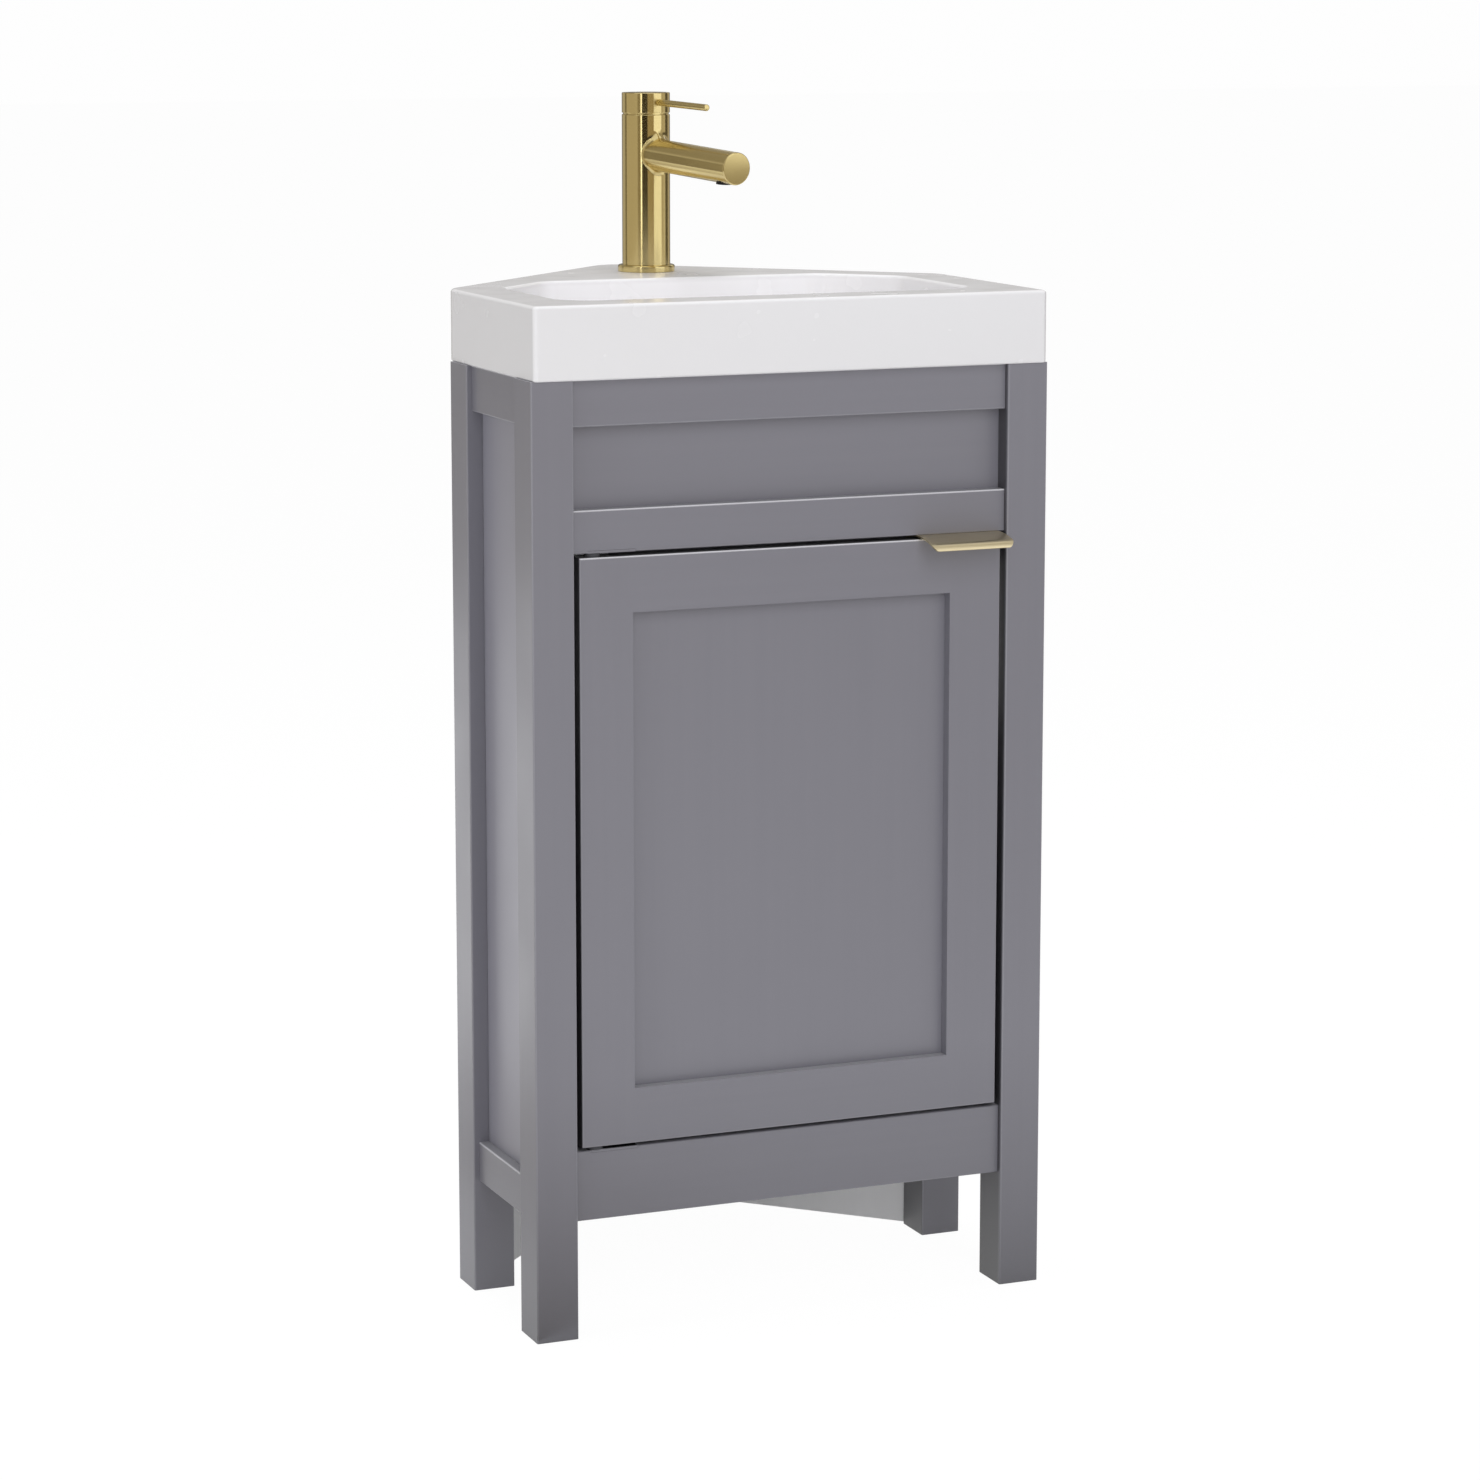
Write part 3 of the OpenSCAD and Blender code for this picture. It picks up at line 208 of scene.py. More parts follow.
gapSettings = {
    "inside": 0.25,                   # what is left of the colour
    "behindFront": (-0.1975, -0.1925), "withinPosts": (0.1930, 0.1925),
    "sideways": (0.90, 0.97), "doorSide": (0.1855, 0.1860),
    "upward": (0.95, 0.99), "doorTop": (0.6440, 0.6450), "underRail": (0.6495, 0.6490),
}


def makePaintedGapShade(s):
    # painted shade inside the narrow gaps round the door, where little light gets in: 1 outside them
    inputs = {"Vector": None, "Normal": None, "Inside": s["inside"]}
    group, enter, leave = newGroup("paintedGapShade", inputs, "Shade")
    place, beside = partsOf(group, enter["Vector"]), partsOf(group, enter["Vector"], True)[0]
    upward, sideways = partsOf(group, enter["Normal"])[2], partsOf(group, enter["Normal"], True)[0]
    side = within(group, s, (sideways, "sideways"), (beside, "doorSide"))
    top = within(group, s, (upward, "upward"), (place[2], "doorTop"), (place[2], "underRail"))
    door = within(group, s, (place[1], "behindFront"), (beside, "withinPosts"))
    inside = combine(group, "MULTIPLY", combine(group, "MAXIMUM", side, top), door)
    feed(group, leave, {"Shade": toRange(group, inside, 1.0, enter["Inside"], 0.0, 1.0)})
    return group


paintedBowlLightSettings = {
    "lift": 1.14,
    "beside": (0.170, 0.115), "fromFront": (-0.185, -0.168), "fromBack": (0.215, 0.195),
    "underRim": (0.850, 0.845),
}


def makePaintedBowlLight(s):
    # painted light: the glaze inside the bowl is lighter towards its middle than on the rim, as light bounced
    # round the bowl and falling from above makes it: 1 outside the bowl
    group, enter, leave = newGroup("paintedBowlLight", {"Vector": None, "Lift": s["lift"]}, "Level")
    place, beside = partsOf(group, enter["Vector"]), partsOf(group, enter["Vector"], True)[0]
    oblique = combine(group, "ADD", beside, place[1])
    inside = within(group, s, (beside, "beside"), (place[1], "fromFront"), (oblique, "fromBack"),
                    (place[2], "underRim"))
    feed(group, leave, {"Level": toRange(group, inside, 1.0, enter["Lift"], 0.0, 1.0)})
    return group


streaks = makeStreaks()
peel = makePeel()
# the next four groups paint light and shade into colours: highlights on eased edges, shade near the floor and
# in the door's gaps, light inside the bowl
paintedArrisLight = makePaintedArrisLight(paintedArrisSettings)
paintedFootShade = makePaintedFootShade(footSettings)
paintedGapShade = makePaintedGapShade(gapSettings)
paintedBowlLight = makePaintedBowlLight(paintedBowlLightSettings)


# finishes
def startMaterial(name, fixed):
    material = bpy.data.materials.new(name)
    material.use_nodes = True
    tree = material.node_tree
    shader = tree.nodes["Principled BSDF"]
    feed(tree, shader, fixed)
    return tree, shader


def useGroup(tree, group, **feeds):
    return addNode(tree, "ShaderNodeGroup", feeds, node_tree=group).outputs


def placedVector(tree, source, turn=(0, 0, 0)):
    coordinates = addNode(tree, "ShaderNodeTexCoord").outputs[source]
    turned = [math.radians(t) for t in turn]
    return addNode(tree, "ShaderNodeMapping", {"Vector": coordinates, "Rotation": turned}).outputs["Vector"]


def mixColours(tree, factor, low, high):
    low, high = ((*colour, 1) if isinstance(colour, tuple) else colour for colour in (low, high))
    mix = addNode(tree, "ShaderNodeMix", {"Factor": factor, "A": low, "B": high}, data_type="RGBA")
    return mix.outputs["Result"]


def scaleColour(tree, colour, scale):
    return addNode(tree, "ShaderNodeVectorMath", {0: colour, "Scale": scale}, operation="SCALE").outputs[0]


def paintedGapShadeOf(tree, face):
    # painted shade inside the door's gaps
    return useGroup(tree, paintedGapShade, Vector=face["Object"], Normal=face["Normal"])["Shade"]


def blendHeights(tree, first, second, share):
    return mathNode(tree, "MULTIPLY_ADD", first, share, mathNode(tree, "MULTIPLY", second, 1 - share))


def brushOf(tree, vector, s):
    brush = useGroup(tree, streaks, Vector=vector, Across=s["across"], Along=s["along"],
                     Contrast=s["contrast"])
    return brush, skinOf(tree, vector, s)


def skinOf(tree, vector, s):
    return useGroup(tree, peel, Vector=vector, Fine=s["fine"], Slow=s["slow"])


def dress(tree, shader, s, colour, rough, height):
    strength, depth = s["bump"]
    bump = addNode(tree, "ShaderNodeBump", {"Strength": strength, "Distance": depth, "Height": height})
    feed(tree, shader, {"Base Color": colour, "Roughness": toRange(tree, rough, *s["roughness"]),
                        "Normal": bump.outputs["Normal"]})


paintSettings = {
    "low": (0.187, 0.184, 0.216),
    "high": (0.195, 0.192, 0.224),
    # the next two are painted light: a highlight colour for eased edges and a lighter colour for faces that
    # look up
    "edge": (0.80, 0.80, 0.84),
    "ledge": (0.36, 0.36, 0.39),
    "roughness": (0.36, 0.44),
    "ior": 1.75,
    "across": 110.0,
    "along": 2.5,
    "contrast": 1.6,
    "streakShare": 0.5,
    "fine": 900.0,
    "slow": 7.0,
    "bump": (0.25, 0.00008),         # strength and depth
}
panelSheen = 1.45             # painted light: a lighter paint on the side panels stands in for the brighter sheen they show from the side


def satinPaint(name, turn, upright, upward, s):
    tree, shader = startMaterial(name, {"IOR": s["ior"]})
    brush, skin = brushOf(tree, placedVector(tree, "Object", turn), s)
    face = addNode(tree, "ShaderNodeTexCoord").outputs
    edge = useGroup(tree, paintedArrisLight, Normal=face["Normal"], Upright=upright, Upward=upward)
    colour = mixColours(tree, brush["Streak"], s["low"], s["high"])
    # painted light: lighter faces that look up, then painted highlights on eased edges
    colour = mixColours(tree, edge["LedgeLight"], colour, s["ledge"])
    colour = mixColours(tree, edge["Mask"], colour, s["edge"])
    # painted shade, darker towards the floor
    colour = scaleColour(tree, colour, useGroup(tree, paintedFootShade, Vector=face["Object"])["Shade"])
    # painted shade inside the door's gaps
    dress(tree, shader, s, scaleColour(tree, colour, paintedGapShadeOf(tree, face)), skin["Cloud"],
          blendHeights(tree, brush["Height"], skin["Height"], s["streakShare"]))


boardSettings = {
    "low": (0.84, 0.84, 0.85),
    "high": (0.88, 0.88, 0.89),
    "roughness": (0.45, 0.6),
    "ior": 1.48,
    "across": 150.0,
    "along": 9.0,
    "contrast": 1.2,
    "streakShare": 0.6,
    "fine": 700.0,
    "slow": 12.0,
    "bump": (0.4, 0.0002),
}


def linedBoard(name, s):
    tree, shader = startMaterial(name, {"IOR": s["ior"]})
    brush, skin = brushOf(tree, placedVector(tree, "Object"), s)
    dress(tree, shader, s, mixColours(tree, brush["Streak"], s["low"], s["high"]), skin["Cloud"],
          blendHeights(tree, brush["Height"], skin["Height"], s["streakShare"]))


brassSettings = {
    "low": (0.650, 0.530, 0.245),
    "high": (0.710, 0.582, 0.275),
    "roughness": (0.13, 0.18),
    "anisotropy": 0.9,
    "across": 1500.0,
    "along": 12.0,
    "contrast": 1.4,
    "fine": 60.0,
    "slow": 9.0,
    "bump": (0.08, 0.00002),
}
pullFinish = {
    **brassSettings,
    "low": (0.68, 0.59, 0.37),
    "high": (0.82, 0.72, 0.50),
    "roughness": (0.28, 0.34),
    "anisotropy": 0.7,
    "across": 700.0,
    "along": 8.0,
}


def brushedBrass(name, source, turn, s):
    # the brushing runs along Z of the vector; on turned pieces the UV map carries it round the axis
    tree, shader = startMaterial(name, {"Metallic": 1, "Anisotropic": s["anisotropy"]})
    brush, skin = brushOf(tree, placedVector(tree, source, turn), s)
    colour = mixColours(tree, brush["Streak"], s["low"], s["high"])
    # painted shade where the pull reaches into the door's gap
    shade = paintedGapShadeOf(tree, addNode(tree, "ShaderNodeTexCoord").outputs)
    dress(tree, shader, s, scaleColour(tree, colour, shade), skin["Cloud"], brush["Height"])
    if source == "UV":
        tangent = addNode(tree, "ShaderNodeTangent", direction_type="UV_MAP", uv_map="turned")
        feed(tree, shader, {"Tangent": tangent.outputs[0]})


skinSettings = {             # "rough" names the pattern that varies the roughness
    "whiteGlaze": {
        "low": (0.800, 0.793, 0.812), "high": (0.816, 0.809, 0.828), "roughness": (0.22, 0.28),
        "rough": "Height", "fine": 26.0, "slow": 5.0, "bump": (0.03, 0.0003),
        # level: painted light inside the bowl
        "fixed": {"IOR": 1.5, "Coat Weight": 0.2, "Coat Roughness": 0.12}, "level": paintedBowlLight},
    "platedSteel": {
        "low": (0.50, 0.50, 0.52), "high": (0.60, 0.60, 0.61), "roughness": (0.28, 0.42),
        "rough": "Cloud", "fine": 1600.0, "slow": 120.0, "bump": (0.2, 0.0001), "fixed": {"Metallic": 1}},
    "darkSteel": {
        "low": (0.006, 0.006, 0.007), "high": (0.012, 0.012, 0.013), "roughness": (0.5, 0.62),
        "rough": "Height", "fine": 1400.0, "slow": 60.0, "bump": (0.3, 0.0001),
        "fixed": {"IOR": 1.5, "Specular IOR Level": 0.2}},
    "bumperRubber": {
        "low": (0.016, 0.016, 0.018), "high": (0.028, 0.028, 0.030), "roughness": (0.6, 0.8),
        "rough": "Height", "fine": 900.0, "slow": 60.0, "bump": (0.3, 0.0001), "fixed": {"IOR": 1.5}},
}


def evenSkin(name, s):
    tree, shader = startMaterial(name, s["fixed"])
    vector = placedVector(tree, "Object")
    skin = skinOf(tree, vector, s)
    colour = mixColours(tree, skin["Cloud"], s["low"], s["high"])
    if "level" in s:
        # painted light inside the bowl, for the glaze that has it
        colour = scaleColour(tree, colour, useGroup(tree, s["level"], Vector=vector)["Level"])
    dress(tree, shader, s, colour, skin[s["rough"]], skin["Height"])


# a lighter copy of the paint, painted light for the side panels
sheenLitPaint = {**paintSettings,
              **{key: tuple(panelSheen * level for level in paintSettings[key]) for key in ("low", "high")}}
paints = {                   # the grain's turn; how much painted highlight upright and upward edges get; paint
    "paintUpright": ((0, 0, 0), 0.08, 1.0, paintSettings),
    "paintAcross": ((0, 90, 0), 0.08, 1.0, paintSettings),
    "paintLow": ((0, 90, 0), 0.04, 0.0, paintSettings),          # its top edge lies in the door's gap, so its edges get little painted highlight
    "paintPanel": ((0, 0, 0), 0.08, 1.0, sheenLitPaint),
    "paintDeep": ((90, 0, 0), 0.08, 0.6, paintSettings),
}
for name, choices in paints.items():
    satinPaint(name, *choices)
linedBoard("linedBoard", boardSettings)
brushedBrass("brassTurned", "UV", (90, 0, 0), brassSettings)
brushedBrass("brassFlat", "Object", (0, 90, 0), brassSettings)
brushedBrass("brassPull", "UV", (90, 0, 0), pullFinish)
for name, settings in skinSettings.items():
    evenSkin(name, settings)
print("finishes made")


# CAD nodes that stay: their finishes; the bushes, the cartridge and the seals keep their own
nodeFinishes = {
    "paintUpright": "front_post_left front_post_right rear_post_left rear_post_right "
                    "door_stile_left door_stile_right door_panel door_stop",
    # the side panels take the lighter copy of the paint, painted light
    "paintPanel": "side_panel_left side_panel_right",
    "paintAcross": "top_rail drawer_panel middle_rail door_top_rail door_bottom_rail",
    "paintLow": "bottom_rail",
    "paintDeep": "side_top_rail_left side_top_rail_right side_bottom_rail_left side_bottom_rail_right",
    "linedBoard": "back_panel_left back_panel_right corner_batten "
                  "floor_panel floor_cleats shelf shelf_cleats",
    "platedSteel": "catch_magnet catch_plate tap_collar tap_stem waste_stem",
    "brassFlat": "tap_bonnet",
}


def finishNode(node, material):
    if not node.material_slots:
        node.data.materials.append(material)
    for slot in node.material_slots:
        slot.material = material


for finish, names in nodeFinishes.items():
    for name in names.split():
        finishNode(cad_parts[name], bpy.data.materials[finish])
print("CAD nodes finished")


def toMesh(name, work, finish, sharpAngle=None):
    mesh = bpy.data.meshes.new(name)
    work.to_mesh(mesh)
    work.free()
    mesh.materials.append(bpy.data.materials[finish])
    if sharpAngle:
        smoothMesh(mesh, sharpAngle)
    return mesh


def smoothMesh(mesh, sharpAngle):
    mesh.shade_smooth()
    mesh.set_sharp_from_angle(angle=math.radians(sharpAngle))


def addPiece(name, mesh, body, node):
    piece = addObject(name, mesh)
    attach(piece, body)
    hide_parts(node)
    return piece


def makePiece(name, work, finish, body, node, sharpAngle=50):
    bmesh.ops.remove_doubles(work, verts=work.verts, dist=1e-7)
    bmesh.ops.recalc_face_normals(work, faces=work.faces)
    return addPiece(name, toMesh(name, work, finish, sharpAngle), body, node)


def evenShading(piece):
    # the flat faces keep flat shading right up to their rounded edges
    weighted = piece.modifiers.new("evenShading", "WEIGHTED_NORMAL")
    weighted.weight = 60
    weighted.keep_sharp = True


def smoothCopy(name, node, finish, trim=()):
    # a CAD node drawn with smooth walls: its own shape, merged, with sharp edges kept;
    # trim gives the front and back Y between which it is kept
    work = bmesh.new()
    work.from_mesh(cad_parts[node].data)
    bmesh.ops.transform(work, matrix=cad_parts[node].matrix_world, verts=work.verts)
    bmesh.ops.remove_doubles(work, verts=work.verts, dist=1e-6)
    for y, way in zip(trim, (-1, 1)):
        bmesh.ops.bisect_plane(work, geom=work.verts[:] + work.edges[:] + work.faces[:], dist=1e-7,
                               plane_co=(0, y, 0), plane_no=(0, way, 0), clear_outer=True)
        bmesh.ops.holes_fill(work, edges=[e for e in work.edges if e.is_boundary], sides=0)
        bmesh.ops.recalc_face_normals(work, faces=work.faces)
    evenShading(addPiece(name, toMesh(name, work, finish, 32), "cabinet", node))


def arc(centre, radius, start, end, steps):
    turns = [math.radians(start + (end - start) * i / steps) for i in range(steps + 1)]
    return [(centre[0] + radius * math.cos(turn), centre[1] + radius * math.sin(turn)) for turn in turns]


def quarter(steps, first=0):
    return [math.radians(90 * k / steps) for k in range(first, steps + 1)]


def addLathe(work, profile, place, sides):
    # a closed profile of (radius, height) turned round Z; U of the map runs along the axis and V round it
    uv = work.loops.layers.uv.get("turned") or work.loops.layers.uv.new("turned")
    lengths = [0]
    for (r0, z0), (r1, z1) in zip(profile, profile[1:] + profile[:1]):
        lengths.append(lengths[-1] + math.hypot(r1 - r0, z1 - z0))
    width = 2 * math.pi * max(r for r, z in profile) / sides
    turns = [2 * math.pi * i / sides for i in range(sides)]
    rings = []
    for r, z in profile:
        rings.append([work.verts.new(place @ Vector((r * math.cos(turn), r * math.sin(turn), z)))
                      for turn in (turns if r > 0 else turns[:1])])
    for k, low in enumerate(rings):
        high = rings[(k + 1) % len(rings)]
        if len(low) == len(high) == 1:
            continue
        for i in range(sides):
            corners = [(low, 0, k), (low, 1, k), (high, 1, k + 1), (high, 0, k + 1)]
            if len(low) == 1:
                corners[:2] = [(low, 0.5, k)]
            elif len(high) == 1:
                corners[2:] = [(high, 0.5, k + 1)]
            face = work.faces.new([ring[0] if len(ring) == 1 else ring[(i + side) % sides]
                                   for ring, side, step in corners])
            for loop, (ring, side, step) in zip(face.loops, corners):
                loop[uv].uv = (lengths[step], (i + side) * width)


def turnPiece(name, profile, places, sides, finish, body, node):
    work = bmesh.new()
    for place in places:
        addLathe(work, profile, place, sides)
    return makePiece(name, work, finish, body, node)


def turned(degrees, axis):
    return Matrix.Rotation(math.radians(degrees), 4, axis)


tapPlace = Matrix.Translation((*tapAxis, rimTop)) @ Matrix.Rotation(tapTurn, 4, "Z")


# basin
basinSettings = {
    "half": 0.226, "front": -0.003, "sideEnd": 0.205,
    "wallSum": 0.431,
    "frontCorner": 0.004, "sideCorner": 0.026, "backCorner": 0.026,
    "rimHeight": 0.060, "rimRound": 0.003, "foot": 0.001, "rimWall": 0.016, "deck": 0.014,
    "bowlHalf": 0.182, "bowlFront": 0.040, "bowlBack": 0.248, "bowlSum": 0.374431,
    "bowlDepth": 0.092, "bowlWall": 0.008, "bowlCorner": 0.028, "bowlRound": 0.034, "draft": 7,
    "mouthRound": 0.003,
    "floorCorner": 0.016, "tightCorner": 0.002,
    "wasteY": 0.140, "wasteHole": 0.0225, "tapHole": 0.0175, "holeSides": 64,
    "cornerSteps": 14, "roundSteps": 8, "mouthSteps": 5, "wallSteps": 8, "bowlSteps": 22, "underSteps": 12,
}


def roundedOutline(points, radii, inset, smallest, steps):
    # a convex outline, anticlockwise, after its sides have moved inwards
    outline = []
    for i, point in enumerate(points):
        here = Vector(point)
        before = (here - Vector(points[i - 1])).normalized()
        after = (Vector(points[(i + 1) % len(points)]) - here).normalized()
        inwardBefore = Vector((-before.y, before.x))
        inwardAfter = Vector((-after.y, after.x))
        radius = max(radii[i] - inset, smallest)
        centre = here + (inset + radius) * (inwardBefore + inwardAfter) / (1 + inwardBefore.dot(inwardAfter))
        start = math.atan2(-inwardBefore.y, -inwardBefore.x)
        turn = math.atan2(before.x * after.y - before.y * after.x, before.dot(after))
        for k in range(steps + 1):
            angle = start + turn * k / steps
            outline.append((centre.x + radius * math.cos(angle), centre.y + radius * math.sin(angle)))
    return outline


def joinRings(work, rings):
    for low, high in zip(rings, rings[1:]):
        for i in range(len(low)):
            j = (i + 1) % len(low)
            work.faces.new((low[i], low[j], high[j], high[i]))


def fillBetween(work, outer, holes):
    loops = [[v.co.copy() for v in ring] for ring in [outer, *holes]]
    verts = [v for ring in [outer, *holes] for v in ring]
    for triangle in tessellate_polygon(loops):
        corners = [verts[i] for i in triangle]
        if len(set(corners)) == 3:
            work.faces.new(corners)


def makeBasin(s):
    work = bmesh.new()
    half, side = s["half"], s["sideEnd"]
    rim = [(-half, s["front"]), (half, s["front"]), (half, side), (0, s["wallSum"]), (-half, side)]
    rimRadii = [s["frontCorner"], s["frontCorner"], s["sideCorner"], s["backCorner"], s["sideCorner"]]
    half, back, total = s["bowlHalf"], s["bowlBack"], s["bowlSum"]
    bowl = [(-half, s["bowlFront"]), (half, s["bowlFront"]), (half, total - half),
            (total - back, back), (back - total, back), (-half, total - half)]
    top, bottom, deck = rimTop, rimTop - s["rimHeight"], rimTop - s["deck"]
    tight, steps = s["tightCorner"], s["cornerSteps"]

    def addRing(outline, z):
        return [work.verts.new((x, y + frontY, z)) for x, y in outline]

    def rimRing(inset, z):
        return addRing(roundedOutline(rim, rimRadii, inset, tight, steps), z)

    def bowlRing(inset, z, smallest=s["floorCorner"]):
        return addRing(roundedOutline(bowl, [s["bowlCorner"]] * len(bowl), inset, smallest, steps), z)

    def holeRing(y, radius, z):
        turns = [2 * math.pi * i / s["holeSides"] for i in range(s["holeSides"])]
        return addRing([(radius * math.cos(turn), y + radius * math.sin(turn)) for turn in turns], z)

    outside = [rimRing(s["foot"], bottom), rimRing(0, bottom + s["foot"])]
    easing = s["rimRound"]
    for turn in quarter(s["roundSteps"]):
        outside.append(rimRing(easing * (1 - math.cos(turn)), top - easing * (1 - math.sin(turn))))
    joinRings(work, outside)

    # bowl: eased mouth, drafted wall, round into the floor
    inside = []
    mouth, bend = s["mouthRound"], s["bowlRound"]
    for turn in reversed(quarter(s["mouthSteps"])):
        inside.append(bowlRing(mouth * (math.cos(turn) - 1), top - mouth * (1 - math.sin(turn)), tight))
    straight = s["bowlDepth"] - bend
    slope = math.tan(math.radians(s["draft"]))
    for k in range(1, s["wallSteps"] + 1):
        drop = mouth + (straight - mouth) * k / s["wallSteps"]
        inside.append(bowlRing(drop * slope, top - drop))
    for turn in quarter(s["bowlSteps"], 1):
        inside.append(bowlRing(straight * slope + bend * (1 - math.cos(turn)),
                               top - straight - bend * math.sin(turn)))
    joinRings(work, inside)

    tapHoleTop, tapHoleLow = (holeRing(tapAxis[1] - frontY, s["tapHole"], z) for z in (top, deck))
    fillBetween(work, outside[-1], [inside[0], tapHoleTop])
    joinRings(work, [tapHoleTop, tapHoleLow])

    # underside: hollow under the rim, the bowl's outer form and the waste hole
    hollow = roundedOutline(rim, [tight] * len(rim), s["rimWall"], tight, 2)
    hollowLow, hollowTop = addRing(hollow, bottom), addRing(hollow, deck)
    joinRings(work, [hollowLow, hollowTop])
    fillBetween(work, outside[0], [hollowLow])
    wall = s["bowlWall"]
    under = [bowlRing(-wall, deck, tight), bowlRing(straight * slope - wall, top - straight)]
    for turn in quarter(s["underSteps"], 1):
        under.append(bowlRing(straight * slope + bend * (1 - math.cos(turn)) - wall,
                              top - straight - bend * math.sin(turn) - wall * math.sin(turn)))
    joinRings(work, under)
    fillBetween(work, hollowTop, [under[0], tapHoleLow])
    wasteTop, wasteLow = (holeRing(s["wasteY"], s["wasteHole"], top - s["bowlDepth"] - drop)
                          for drop in (0, wall))
    fillBetween(work, inside[-1], [wasteTop])
    fillBetween(work, under[-1], [wasteLow])
    joinRings(work, [wasteTop, wasteLow])
    evenShading(makePiece("washBasin", work, "whiteGlaze", "cabinet", "basin", 40))


makeBasin(basinSettings)
print("basin made")


# tap
tapSettings = {
    "radius": 0.021, "bodyTop": 0.1367, "edge": 0.0007,
    "pocketRadius": 0.0185, "pocketBottom": 0.0887,
    "ringRadius": 0.025, "ringHeight": 0.006, "ringBore": 0.0141, "ringEdge": 0.0018, "ease": 0.0004,
    "spoutRadius": 0.014, "spoutReach": 0.140, "spoutHeight": 0.103, "spoutFall": 3.5, "spoutEdge": 0.0011,
    "rootAbove": 0.0095, "rootBelow": 0.004, "rootBeside": 0.0025,
    "rootInside": 0.008, "rootSink": 0.0006, "rootTaper": 0.8,
    "capBottom": 0.138, "capTop": 0.1555, "capSphere": 0.028521, "capLip": 0.0003, "tiltHeight": 0.1187,
    "pinRadius": 0.0029, "pinReach": 0.095, "pinStart": 0.004, "pinHeight": 0.148, "pinFall": 2,
    "pinEdge": 0.0008,
    "sides": 128, "spoutSides": 96, "pinSides": 48,
    "bodySteps": 24, "rootSteps": 18, "spoutSteps": 16, "hollowSteps": 14,
    "edgeSteps": 5, "bodyEdgeSteps": 4, "ringEdgeSteps": 6,
    "pinRuns": (0, 0.02, 0.05),
    # U of the map where each part of the spout starts, and its growth over the root
    "mapRoot": 0.0, "mapSink": 0.001, "mapBall": 0.002, "mapGrowth": 1.4, "mapTube": 0.014, "mapEdge": 0.016,
    "mapInnerEnd": -0.012, "mapTip": 0.17,
}


def makeTapBody(s):
    work = bmesh.new()
    r, top, edge, low = s["radius"], s["bodyTop"], s["edge"], s["ringHeight"]
    wall = [(r, low + (top - edge - low) * k / s["bodySteps"]) for k in range(1, s["bodySteps"])]
    profile = [(0, low), (r, low), *wall, *arc((r - edge, top - edge), edge, 0, 90, s["bodyEdgeSteps"]),
               (s["pocketRadius"], top), (s["pocketRadius"], s["pocketBottom"]), (0, s["pocketBottom"])]
    addLathe(work, profile, tapPlace, s["sides"])

    # spout: its root is the path of a ball that rolls between spout and body
    fall = math.radians(s["spoutFall"])
    root = Vector((0, 0, s["spoutHeight"]))
    outward = Vector((0, -math.cos(fall), -math.sin(fall)))
    upward = Vector((0, -math.sin(fall), math.cos(fall)))
    sides, radius, reach, tip = s["spoutSides"], s["spoutRadius"], s["spoutReach"], s["spoutEdge"]
    beside, turns, runs = s["rootBeside"], s["rootSteps"], s["spoutSteps"]

    def onSpout(turn, wide, far):
        return root + outward * far + Vector((wide * math.cos(turn), 0, 0)) + upward * (wide * math.sin(turn))

    rows = []            # for each side the points from root to tip, each with its U in the map
    for i in range(sides):
        turn = 2 * math.pi * i / sides
        ball = beside + (s["rootAbove" if turn < math.pi else "rootBelow"] - beside) * math.sin(turn) ** 2
        wide = radius + ball
        far = (math.sqrt((r + ball) ** 2 - (wide * math.cos(turn)) ** 2)
               - wide * math.sin(turn) * math.sin(fall)) / math.cos(fall)
        centre = onSpout(turn, wide, far)
        level = Vector((centre.x, centre.y, 0)).normalized()
        first = level * r + Vector((0, 0, centre.z))
        last = onSpout(turn, radius, far)
        row = [(onSpout(turn, radius * s["rootTaper"], s["rootInside"]), s["mapRoot"]),
               (first - level * s["rootSink"], s["mapSink"])]
        for k in range(turns + 1):
            way = (first - centre).normalized().slerp((last - centre).normalized(), k / turns)
            row.append((centre + way * ball, s["mapBall"] + ball * s["mapGrowth"] * k / turns))
        straight = reach - tip - far
        for k in range(1, runs + 1):
            run = straight * k / runs
            row.append((onSpout(turn, radius, far + run), s["mapTube"] + run))
        for x, y in arc((radius - tip, reach - tip), tip, 0, 90, s["edgeSteps"])[1:]:
            row.append((onSpout(turn, x, y), s["mapEdge"] + straight + radius - x))
        rows.append(row)
    uv = work.loops.layers.uv["turned"]
    rings = [[work.verts.new(tapPlace @ row[k][0]) for row in rows] for k in range(len(rows[0]))]
    step = 2 * math.pi * radius / sides
    for k in range(len(rings) - 1):
        for i in range(sides):
            j = (i + 1) % sides
            face = work.faces.new((rings[k][i], rings[k][j], rings[k + 1][j], rings[k + 1][i]))
            corners = ((k, i, i), (k, j, i + 1), (k + 1, j, i + 1), (k + 1, i, i))
            for loop, (a, b, side) in zip(face.loops, corners):
                loop[uv].uv = (rows[b][a][1], side * step)
    for ring, far, start in ((rings[0], s["rootInside"], s["mapInnerEnd"]), (rings[-1], reach, s["mapTip"])):
        centre = work.verts.new(tapPlace @ onSpout(0, 0, far))
        for i in range(sides):
            face = work.faces.new((ring[i], ring[(i + 1) % sides], centre))
            for loop in face.loops:
                loop[uv].uv = (start + (radius if loop.vert == centre else 0), i * step)
    evenShading(makePiece("tapBody", work, "brassTurned", "cabinet", "tap_body"))


